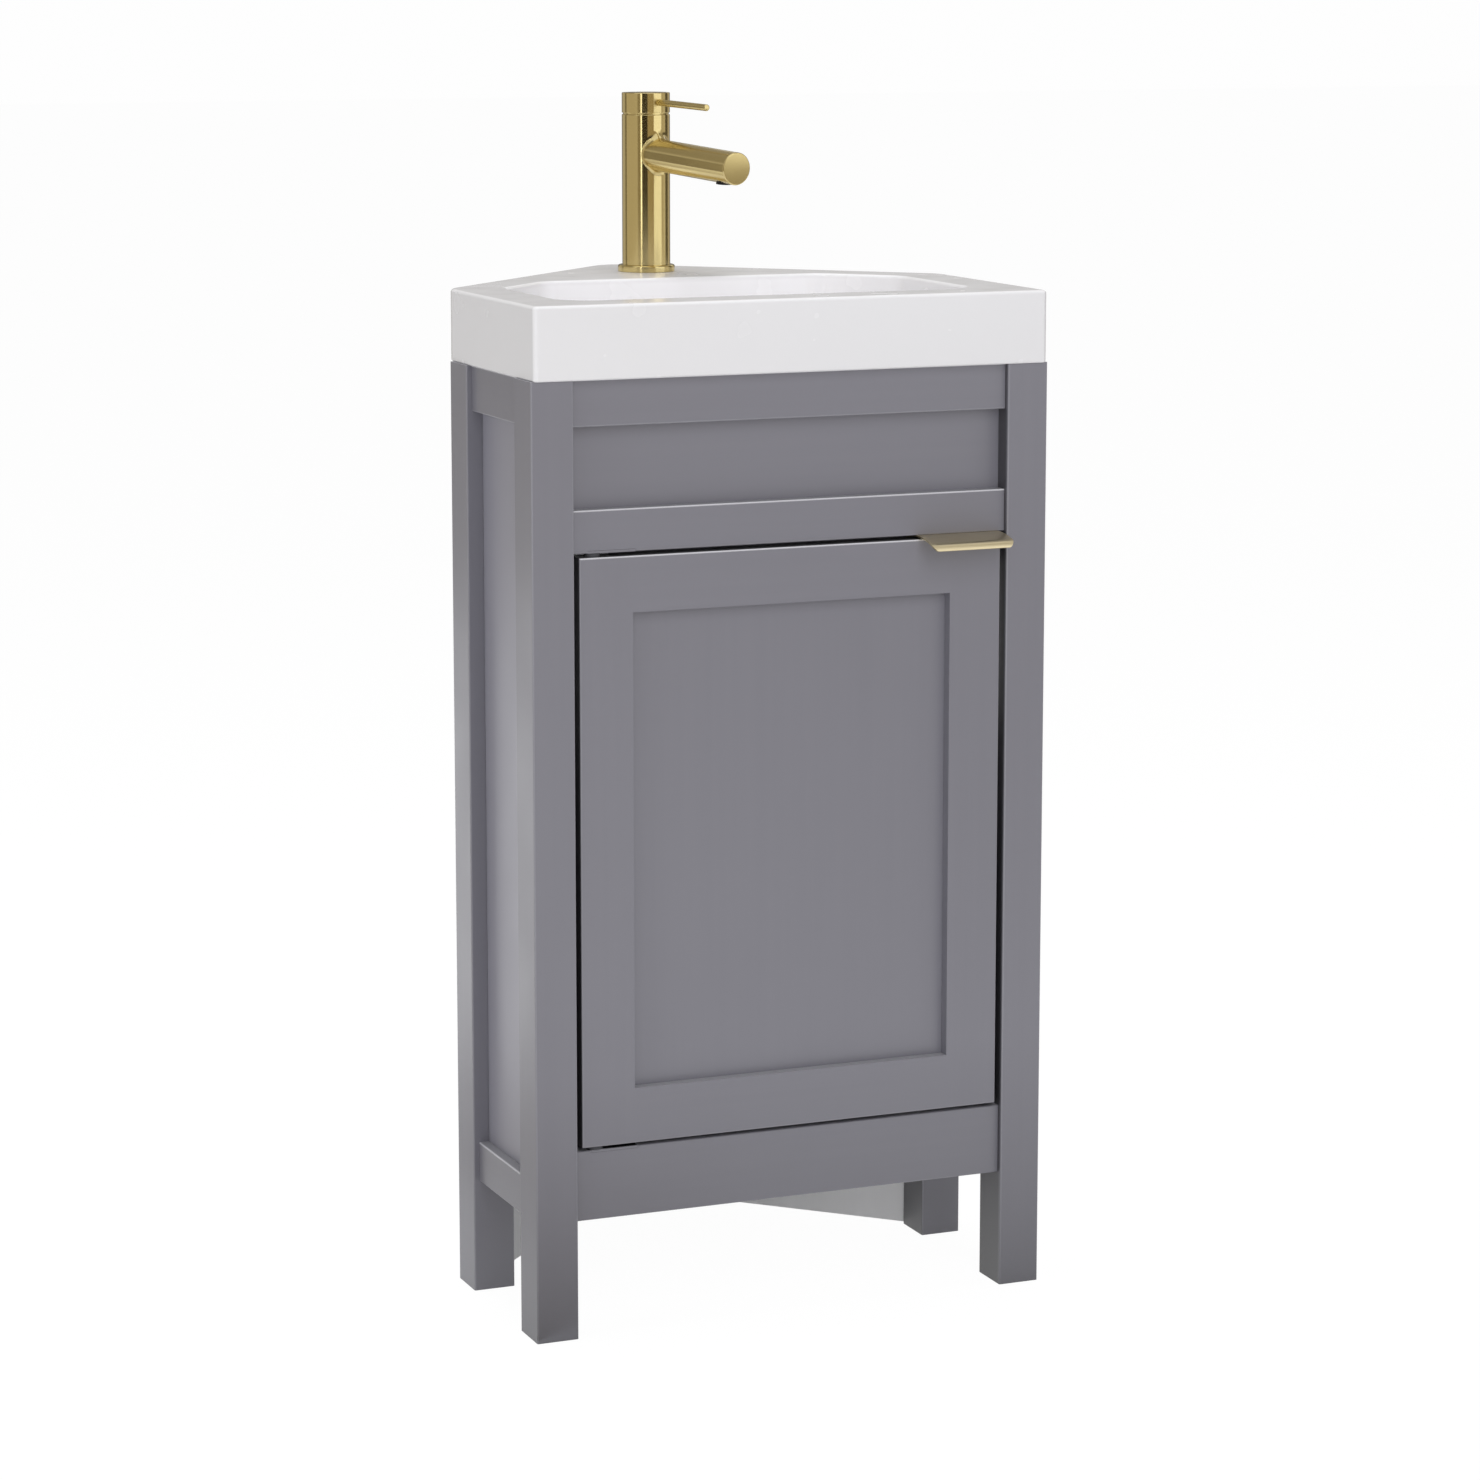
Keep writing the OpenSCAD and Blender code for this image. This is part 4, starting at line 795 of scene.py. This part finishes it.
def makeTapTurnings(s):
    ease, steps = s["ease"], s["edgeSteps"]

    def brassPiece(name, profile, place, sides, body, node):
        evenShading(turnPiece(name, profile, [place], sides, "brassTurned", body, node))

    bore, r, high, edge = s["ringBore"], s["ringRadius"], s["ringHeight"], s["ringEdge"]
    profile = [(bore, 0), (r - ease, 0), (r, ease),
               *arc((r - edge, high - edge), edge, 0, 90, s["ringEdgeSteps"]), (bore, high)]
    brassPiece("tapBaseRing", profile, tapPlace, s["sides"], "cabinet", "tap_base_ring")

    r, low, high, edge, tilt = s["radius"], s["capBottom"], s["capTop"], s["edge"], s["tiltHeight"]
    hollow = arc((0, tilt), s["capSphere"], 90, math.degrees(math.atan2(low - tilt, r)), s["hollowSteps"])
    hollow[0] = (0, hollow[0][1])
    profile = [*hollow[:-1], (r - s["capLip"], low), (r, low + ease), (r, (low + high) / 2),
               *arc((r - edge, high - edge), edge, 0, 90, steps), (0, high)]
    brassPiece("leverCap", profile, tapPlace, s["sides"], "lever", "tap_cap")

    r, start, end, edge = s["pinRadius"], s["pinStart"], s["pinReach"], s["pinEdge"]
    profile = [(0, start), *[(r, start + run) for run in s["pinRuns"]],
               *arc((r - edge, end - edge), edge, 0, 90, steps), (0, end)]
    place = tapPlace @ Matrix.Translation((0, 0, s["pinHeight"])) @ turned(90 + s["pinFall"], "X")
    brassPiece("leverPin", profile, place, s["pinSides"], "lever", "tap_pin")


makeTapBody(tapSettings)
makeTapTurnings(tapSettings)
print("tap made")


# edge pull of the door
handleSettings = {
    "left": 0.112, "right": 0.187, "doorFace": 0.002, "doorBack": 0.024, "doorTop": 0.647,
    "sheet": 0.0016, "inner": 0.999, "tab": 0.026,
    "sweeps": ((0.094, 2, 15.5), (0.0085, 15.5, 70)),      # plate and lip: radius, slopes at start and end
    "backBend": 0.0022, "corner": 0.005, "edge": 0.0003, "edgeSegments": 2, "edgeAngle": 50,
    "columns": 24, "bendSteps": 6, "sweepSteps": 14,
}


def makeHandle(s):
    # the folded sheet's outer face as (y, z) from the door's face and top edge, from the tab to the lip
    sheet, bend, steps, columns = s["sheet"], s["backBend"], s["bendSteps"], s["columns"]
    behind = s["doorBack"] - s["doorFace"] + sheet
    outer = [(behind, sheet - s["tab"] + (s["tab"] - bend) * k / steps) for k in range(steps + 1)]
    outer += arc((behind - bend, sheet - bend), bend, 0, 90, steps)[1:]
    outer += [(behind - bend - (behind - bend) * k / steps, sheet) for k in range(1, steps + 1)]
    for radius, start, end in s["sweeps"]:
        edgeY, edgeZ = outer[-1]
        hub = (edgeY + radius * math.sin(math.radians(start)), edgeZ - radius * math.cos(math.radians(start)))
        outer += arc(hub, radius, 90 + start, 90 + end, s["sweepSteps"])[1:]
    reach, final = -outer[-1][0], len(outer) - 1
    inner = []
    for i, point in enumerate(outer):
        ahead = Vector(outer[min(i + 1, final)]) - Vector(outer[max(i - 1, 0)])
        ahead.normalize()
        inner.append((point[0] + ahead.y * sheet * s["inner"], point[1] - ahead.x * sheet * s["inner"]))
    middle, half = (s["left"] + s["right"]) / 2, (s["right"] - s["left"]) / 2
    work = bmesh.new()
    uv = work.loops.layers.uv.new("turned")

    def halfAt(y):
        # the lip's corners are round
        over = s["corner"] - (y + reach)
        if over <= 0:
            return half
        return half - s["corner"] + math.sqrt(max(s["corner"] ** 2 - over ** 2, 0))

    def addRow(y, z, along):
        return [work.verts.new((middle + halfAt(along) * (2 * c / columns - 1), s["doorFace"] + y + frontY,
                                s["doorTop"] + z)) for c in range(columns + 1)]

    top, under = ([addRow(y, z, along) for (y, z), (along, height) in zip(face, outer)]
                  for face in (outer, inner))
    run = [0]
    for p, q in zip(outer, outer[1:]):
        run.append(run[-1] + math.hypot(q[0] - p[0], q[1] - p[1]))

    def cell(i, *corners):
        face = work.faces.new(corners)
        for loop in face.loops:
            loop[uv].uv = (run[i], loop.vert.co.x)

    for i in range(final):
        for c in range(columns):
            cell(i, top[i][c], top[i][c + 1], top[i + 1][c + 1], top[i + 1][c])
            cell(i, under[i][c + 1], under[i][c], under[i + 1][c], under[i + 1][c + 1])
        for c in (0, columns):
            cell(i, top[i][c], top[i + 1][c], under[i + 1][c], under[i][c])
    for i in (0, final):
        for c in range(columns):
            cell(i, top[i][c], top[i][c + 1], under[i][c + 1], under[i][c])
    handle = makePiece("doorPull", work, "brassPull", "door", "handle", 40)
    bevel = handle.modifiers.new("edges", "BEVEL")
    bevel.width = s["edge"]
    bevel.segments = s["edgeSegments"]
    bevel.limit_method = "ANGLE"
    bevel.angle_limit = math.radians(s["edgeAngle"])
    bevel.harden_normals = True


makeHandle(handleSettings)
print("door pull made")


# screws, outlet, bumpers, waste and pivots
def newTree(name, values):
    # one named input for each value, and the finish
    kinds = {float: "NodeSocketFloat", int: "NodeSocketInt", tuple: "NodeSocketVector"}
    tree = bpy.data.node_groups.new(name, "GeometryNodeTree")
    tree.interface.new_socket("Geometry", in_out="INPUT", socket_type="NodeSocketGeometry")
    for label, value in values.items():
        tree.interface.new_socket(label, in_out="INPUT", socket_type=kinds[type(value)])
    tree.interface.new_socket("Finish", in_out="INPUT", socket_type="NodeSocketMaterial")
    tree.interface.new_socket("Geometry", in_out="OUTPUT", socket_type="NodeSocketGeometry")
    return tree, tree.nodes.new("NodeGroupInput").outputs, tree.nodes.new("NodeGroupOutput")


def placeOnPoints(tree, enter, leave, geometry):
    # one copy on every point, its Z along the point's direction
    way = addNode(tree, "GeometryNodeInputNamedAttribute", {"Name": "direction"}, data_type="FLOAT_VECTOR")
    align = addNode(tree, "FunctionNodeAlignRotationToVector", {"Vector": way.outputs["Attribute"]}, axis="Z")
    copies = addNode(tree, "GeometryNodeInstanceOnPoints", {
        "Points": enter["Geometry"], "Instance": geometry, "Rotation": align.outputs["Rotation"]})
    real = addNode(tree, "GeometryNodeRealizeInstances", {"Geometry": copies.outputs["Instances"]})
    finish = addNode(tree, "GeometryNodeSetMaterial", {
        "Geometry": real.outputs["Geometry"], "Material": enter["Finish"]})
    feed(tree, leave, {"Geometry": finish.outputs["Geometry"]})


def sweep(tree, curve, sides, radius):
    ring = addNode(tree, "GeometryNodeCurvePrimitiveCircle", {"Resolution": sides, "Radius": radius})
    return addNode(tree, "GeometryNodeCurveToMesh", {
        "Curve": curve, "Profile Curve": ring.outputs["Curve"], "Fill Caps": True}).outputs["Mesh"]


screwDetail = {"sides": 40, "helixSteps": 24, "ridgeSides": 3, "pointRadius": 0.0002}


def makeScrewTree(values, s):
    # a cross-head wood screw along Z: head, core, wound thread and tip
    tree, enter, leave = newTree("crossHeadScrew", values)
    start, high, long = enter["Head Start"], enter["Head Height"], enter["Core Length"]
    core = enter["Core Radius"]

    def moved(geometry, *heights):
        up = addNode(tree, "ShaderNodeCombineXYZ", {2: combine(tree, "ADD", *heights)})
        return addNode(tree, "GeometryNodeTransform", {
            "Geometry": geometry, "Translation": up.outputs[0]}).outputs["Geometry"]

    def cone(bottom, top, depth):
        return addNode(tree, "GeometryNodeMeshCone", {
            "Vertices": s["sides"], "Radius Bottom": bottom, "Radius Top": top,
            "Depth": depth}).outputs["Mesh"]

    head = moved(cone(enter["Face Radius"], enter["Seat Radius"], high), start)
    cross = addNode(tree, "GeometryNodeMeshCube", {"Size": enter["Cross Size"]}).outputs["Mesh"]
    crossed = addNode(tree, "GeometryNodeTransform", {
        "Geometry": cross, "Rotation": (0, 0, math.radians(90))}).outputs["Geometry"]
    cut = addNode(tree, "GeometryNodeMeshBoolean", {0: head}, operation="DIFFERENCE")
    for part in (cross, crossed):
        feed(tree, cut, {1: moved(part, start)})
    helix = addNode(tree, "GeometryNodeCurveSpiral", {
        "Resolution": s["helixSteps"], "Rotations": enter["Thread Turns"], "Height": long,
        "Start Radius": core, "End Radius": core})
    thread = sweep(tree, helix.outputs["Curve"], s["ridgeSides"], enter["Thread Size"])
    join = addNode(tree, "GeometryNodeJoinGeometry")
    for part in (cut.outputs[0], moved(cone(core, core, long), start, high),
                 moved(cone(core, s["pointRadius"], enter["Tip Length"]), start, high, long),
                 moved(thread, start, high)):
        feed(tree, join, {0: part})
    placeOnPoints(tree, enter, leave, join.outputs[0])
    return tree


def makeWireTree(values):
    # a round screen of crossed wires
    tree, enter, leave = newTree("wireScreen", values)
    radius, count = enter["Screen Radius"], enter["Wires"]
    width = mathNode(tree, "MULTIPLY", radius, 2.0)
    grid = addNode(tree, "GeometryNodeMeshGrid", {
        "Size X": width, "Size Y": width, "Vertices X": count, "Vertices Y": count})
    place = addNode(tree, "GeometryNodeInputPosition").outputs[0]
    far = addNode(tree, "ShaderNodeVectorMath", {0: place}, operation="LENGTH").outputs["Value"]
    outside = addNode(tree, "FunctionNodeCompare", {"A": far, "B": radius},
                      data_type="FLOAT", operation="GREATER_THAN")
    trim = addNode(tree, "GeometryNodeDeleteGeometry", {
        "Geometry": grid.outputs["Mesh"], "Selection": outside.outputs[0]}, domain="POINT")
    wires = addNode(tree, "GeometryNodeMeshToCurve", {"Mesh": trim.outputs[0]})
    placeOnPoints(tree, enter, leave, sweep(tree, wires.outputs["Curve"], 6, enter["Wire Radius"]))
    return tree


def growPiece(name, tree, places, values, finish, body, node):
    # places are (point, direction); the tree's result becomes a plain mesh
    points = bpy.data.meshes.new(name + "Points")
    points.from_pydata([point for point, way in places], [], [])
    ways = points.attributes.new("direction", "FLOAT_VECTOR", "POINT")
    for item, (point, way) in zip(ways.data, places):
        item.vector = way
    seed = addObject(name + "Points", points)
    grow = seed.modifiers.new("grow", "NODES")
    grow.node_group = tree
    values = {**values, "Finish": bpy.data.materials[finish]}
    for item in tree.interface.items_tree:
        if item.item_type == "SOCKET" and item.in_out == "INPUT" and item.name in values:
            grow[item.identifier] = values[item.name]
    graph = bpy.context.evaluated_depsgraph_get()
    mesh = bpy.data.meshes.new_from_object(seed.evaluated_get(graph), depsgraph=graph)
    seed.modifiers.remove(grow)
    bpy.data.objects.remove(seed)
    mesh.name = name
    smoothMesh(mesh, 30)
    addPiece(name, mesh, body, node)


woodScrew = {"Core Radius": 0.0011, "Tip Length": 0.003, "Thread Turns": 7.0, "Thread Size": 0.0003}
screwSettings = {
    "pivotX": (-0.157, -0.145), "pivotY": -0.1861152, "upperFace": 0.650, "lowerFace": 0.157,
    "countersunk": {**woodScrew, "Face Radius": 0.0034, "Seat Radius": 0.0013, "Head Start": 0.0,
                    "Head Height": 0.0018, "Core Length": 0.0092, "Cross Size": (0.0038, 0.0008, 0.0018)},
    "handleX": (0.130, 0.169), "handleY": -0.1715152, "handleZ": 0.6286,
    "panHead": {**woodScrew, "Face Radius": 0.0024, "Seat Radius": 0.0034, "Head Start": -0.0018,
                "Head Height": 0.0018, "Core Length": 0.0090, "Cross Size": (0.0032, 0.0008, 0.0018)},
}


def makeScrews(s):
    tree = makeScrewTree(s["countersunk"], screwDetail)
    places = [((x, s["pivotY"], z), (0, 0, way)) for z, way in ((s["upperFace"], 1), (s["lowerFace"], -1))
              for x in s["pivotX"]]
    growPiece("pivotScrews", tree, places, s["countersunk"], "darkSteel", "cabinet", "pivot_screws")
    places = [((x, s["handleY"], s["handleZ"]), (0, -1, 0)) for x in s["handleX"]]
    growPiece("pullScrews", tree, places, s["panHead"], "brassFlat", "door", "handle_screws")


outletSettings = {
    "place": 0.122, "top": 0.0102, "bottom": 0.0148, "outside": 0.0070, "bore": 0.0057, "screen": 0.0142,
    "seat": 0.0007, "edge": 0.0004, "sides": 72,
    "wires": {"Screen Radius": 0.0058, "Wires": 15, "Wire Radius": 0.00012},
}


def makeOutlet(s, tap):
    place = (tapPlace @ Matrix.Translation((0, 0, tap["spoutHeight"])) @ turned(90 + tap["spoutFall"], "X")
             @ Matrix.Translation((0, 0, s["place"])) @ turned(90, "X"))
    edge, r, low, seat = s["edge"], s["outside"], s["bottom"], s["screen"] - s["seat"]
    profile = [(0, s["top"]), (r, s["top"]), *arc((r - edge, low - edge), edge, 0, 90, 4),
               (s["bore"] + edge, low), (s["bore"], low - edge), (s["bore"], seat), (0, seat)]
    evenShading(turnPiece("outletRing", profile, [place], s["sides"], "darkSteel", "cabinet", "tap_aerator"))
    point, way = place @ Vector((0, 0, s["screen"])), place.to_3x3() @ Vector((0, 0, 1))
    growPiece("outletScreen", makeWireTree(s["wires"]), [(point, way)], s["wires"], "platedSteel", "cabinet",
              "tap_aerator")


bumperSettings = {
    "x": (-0.128, 0.092), "z": 0.6405, "face": -0.1706152, "radius": 0.004, "height": 0.0022, "sides": 40,
    "wall": 0.35, "domeStart": 0.62, "domeRound": 0.38, "topStart": 0.5, "topRise": 0.96,     # shares of both
}


def makeBumpers(s):
    r, h = s["radius"], s["height"]
    dome = arc((r * s["domeStart"], h * s["wall"]), r * s["domeRound"], 0, 60, 6)[1:-1]
    profile = [(0, 0), (r, 0), (r, h * s["wall"]), *[(x, min(z, h)) for x, z in dome],
               (r * s["topStart"], h * s["topRise"]), (0, h)]
    places = [Matrix.Translation((x, s["face"], s["z"])) @ turned(90, "X") for x in s["x"]]
    turnPiece("stopBumpers", profile, places, s["sides"], "bumperRubber", "cabinet", "door_bumpers")


plugSettings = {
    "y": -0.0571152, "z": 0.7611, "radius": 0.0274, "rise": 0.006, "dome": 0.0683333, "edge": 0.00012,
    "steps": 24, "sides": 128,
}


def makePlug(s):
    r, dome, rise, steps = s["radius"], s["dome"], s["rise"], s["steps"]
    profile = [(0, 0), (r - s["edge"], 0), (r, s["edge"])]
    for k in range(steps + 1):
        x = r * (1 - k / steps)
        profile.append((x, rise - dome + math.sqrt(dome ** 2 - x ** 2)))
    place = Matrix.Translation((0, s["y"], s["z"]))
    turnPiece("wastePlug", profile, [place], s["sides"], "brassTurned", "plug", "waste_plug")


# the plates' ends are flush with the rails and painted over
plateNose = {"front": -0.1911152, "back": -0.1896}


def makeCopies(nose):
    for name, node in (("wasteBody", "waste_body"), ("wasteNut", "waste_backnut"), ("tapShank", "tap_shank"),
                       ("tapNut", "tap_backnut")):
        smoothCopy(name, node, "brassFlat")
    for name, node in (("pivotPlateUpper", "pivot_plate_upper"), ("pivotPlateLower", "pivot_plate_lower")):
        smoothCopy(name, node, "darkSteel", (nose["back"], 0))
        smoothCopy(name + "Nose", node, "paintAcross", (nose["front"], nose["back"]))


makeScrews(screwSettings)
makeOutlet(outletSettings, tapSettings)
makeBumpers(bumperSettings)
makePlug(plugSettings)
makeCopies(plateNose)
print("small pieces made")


# studio
studioSettings = {
    "ambient": 0.25,
    "background": 0.99,
    "floor": 0.92,
    "floorGlow": 1.03,
    "floorShare": 0.94,              # how much of the floor's own glow is seen over its shadow
    "floorHalf": 30,
    "lamps": {                       # direction from the object, distance, size, level on a facing surface
        "frontLamp": ((-0.20, -1.0, 0.07), 3.6, 2.4, 0.28),
        "frontHighLamp": ((-0.10, -1.0, 0.70), 3.6, 2.0, 0.26),
        "leftLamp": ((-1.0, -0.10, 0.15), 3.2, 2.2, 0.24),
        "topLamp": ((0.0, 0.10, 1.0), 3.0, 1.6, 0.64),
    },
    "lampTarget": (0, 0, 0.5),
    "cards": {                       # degrees to the camera's right, lower and upper height, level, warmth
        "backLeftCard": (-180, -150, 0.01, 1.50, 0.22, 0.2),
        "farLeftCard": (-150, -118, 0.01, 1.50, 0.52, 0.2),
        "leftDarkCard": (-118, -106, 0.46, 1.50, 0.20, 0.4),
        "leftTanCard": (-106, -40, 0.01, 1.50, 0.56, 0.3),
        "stripEdgeCard": (-40, -25, 0.42, 2.20, 0.30, 0.5),
        "stripCard": (-25, -19, 0.42, 2.20, 2.1, 0.0),
        "nearDarkCard": (-19, 8, 0.42, 2.20, 0.04, 0.7),
        "oliveCard": (8, 38, 0.42, 2.20, 0.40, 0.6),
        "softboxCard": (38, 79, 0.70, 2.20, 1.35, 0.0),
        "softboxFootCard": (36, 92, 0.01, 0.70, 0.42, 0.3),
        "rightTanCard": (79, 106, 0.70, 2.20, 0.56, 0.3),
        "rightDarkCard": (106, 128, 0.42, 2.20, 0.12, 0.4),
        "farRightCard": (128, 150, 0.42, 1.50, 0.50, 0.3),
        "backRightCard": (150, 180, 0.42, 1.50, 0.24, 0.2),
        "middleLeftCard": (-180, -60, 1.50, 1.74, 0.52, 0.2),
        "highLeftCard": (-180, -60, 1.74, 4.20, 0.35, 0.3),
        "highRightCard": (60, 180, 1.74, 4.20, 0.42, 0.3),
        "lowLeftCard": (-170, -100, 0.01, 0.47, 1.75, 0.0),
    },
    "floorCard": (-106, 20, 0.40, 0.45, 0.3),        # degrees, inner radius, level, warmth
    "floorCardHeight": 0.003,
    "lowRadius": 0.70,
    "cardRadius": 1.9,
    "cardStep": 4,                   # degrees
}


def seenBy(tree, *rays):
    path = addNode(tree, "ShaderNodeLightPath").outputs
    return combine(tree, "MAXIMUM", *[path[ray] for ray in rays])


def makeWorld(s):
    world = bpy.data.worlds.new("studio")
    scene.world = world
    world.use_nodes = True
    tree = world.node_tree
    seen = seenBy(tree, "Is Camera Ray", "Is Glossy Ray", "Is Transmission Ray")
    feed(tree, tree.nodes["Background"], {
        "Color": (1, 1, 1, 1), "Strength": toRange(tree, seen, s["ambient"], s["background"], 0.0, 1.0)})


def makeLamps(s):
    for name, (direction, distance, size, level) in s["lamps"].items():
        data = bpy.data.lights.new(name, "AREA")
        data.shape = "SQUARE"
        data.size = size
        data.energy = level * math.pi ** 2 * distance ** 2
        lamp = addObject(name, data)
        away = Vector(direction).normalized()
        lamp.location = Vector(s["lampTarget"]) + away * distance
        lamp.rotation_euler = away.to_track_quat("Z", "Y").to_euler()
        lamp.visible_glossy = False
        lamp.visible_camera = False


def stageMaterial(name):
    material = bpy.data.materials.new(name)
    material.use_nodes = True
    material.cycles.emission_sampling = "NONE"
    tree = material.node_tree
    tree.nodes.remove(tree.nodes["Principled BSDF"])
    return tree, tree.nodes["Material Output"]


def makeFloor(s):
    tree, output = stageMaterial("floorPaper")
    paper = addNode(tree, "ShaderNodeBsdfDiffuse", {"Color": (s["floor"], s["floor"], s["floor"], 1)})
    white = addNode(tree, "ShaderNodeEmission", {"Strength": s["floorGlow"]})
    share = mathNode(tree, "MULTIPLY", seenBy(tree, "Is Camera Ray", "Is Glossy Ray"), s["floorShare"])
    mix = addNode(tree, "ShaderNodeMixShader", {"Fac": share, 1: paper.outputs[0], 2: white.outputs[0]})
    feed(tree, output, {"Surface": mix.outputs[0]})
    work = bmesh.new()
    bmesh.ops.create_grid(work, x_segments=1, y_segments=1, size=s["floorHalf"])
    floor = addObject("studioFloor", toMesh("studioFloor", work, "floorPaper"))


def makeCard(name, rows, level, warmth):
    # two rows of points make one card, which only mirror-like rays meet
    tree, output = stageMaterial(name)
    glow = addNode(tree, "ShaderNodeEmission", {
        "Color": (1, 1 - 0.3 * warmth, 1 - 0.8 * warmth, 1), "Strength": level})
    feed(tree, output, {"Surface": glow.outputs[0]})
    work = bmesh.new()
    low, high = ([work.verts.new(point) for point in row] for row in rows)
    for k in range(len(low) - 1):
        work.faces.new((low[k + 1], low[k], high[k], high[k + 1]))
    card = addObject(name, toMesh(name, work, name))
    for ray in ("camera", "diffuse", "transmission", "volume_scatter", "shadow"):
        setattr(card, "visible_" + ray, False)


def makeCards(s):
    # curved cards round the tap, as in a product studio
    x, y = tapAxis
    towardsCamera = math.degrees(math.atan2(cameraSettings["place"][1] - y, cameraSettings["place"][0] - x))

    def ring(left, right, radius, height):
        steps = max(2, int((right - left) / s["cardStep"]))
        angles = [math.radians(towardsCamera + left + (right - left) * k / steps) for k in range(steps + 1)]
        return [(x + radius * math.cos(a), y + radius * math.sin(a), height) for a in angles]

    for name, (left, right, bottom, top, level, warmth) in s["cards"].items():
        radius = s["lowRadius" if name.startswith("low") else "cardRadius"]
        makeCard(name, [ring(left, right, radius, height) for height in (bottom, top)], level, warmth)
    left, right, inside, level, warmth = s["floorCard"]
    rows = [ring(left, right, radius, s["floorCardHeight"]) for radius in (s["cardRadius"], inside)]
    makeCard("floorCard", rows, level, warmth)


makeWorld(studioSettings)
makeLamps(studioSettings)
makeFloor(studioSettings)
makeCards(studioSettings)
scene.view_settings.view_transform = "Standard"
print("studio made")
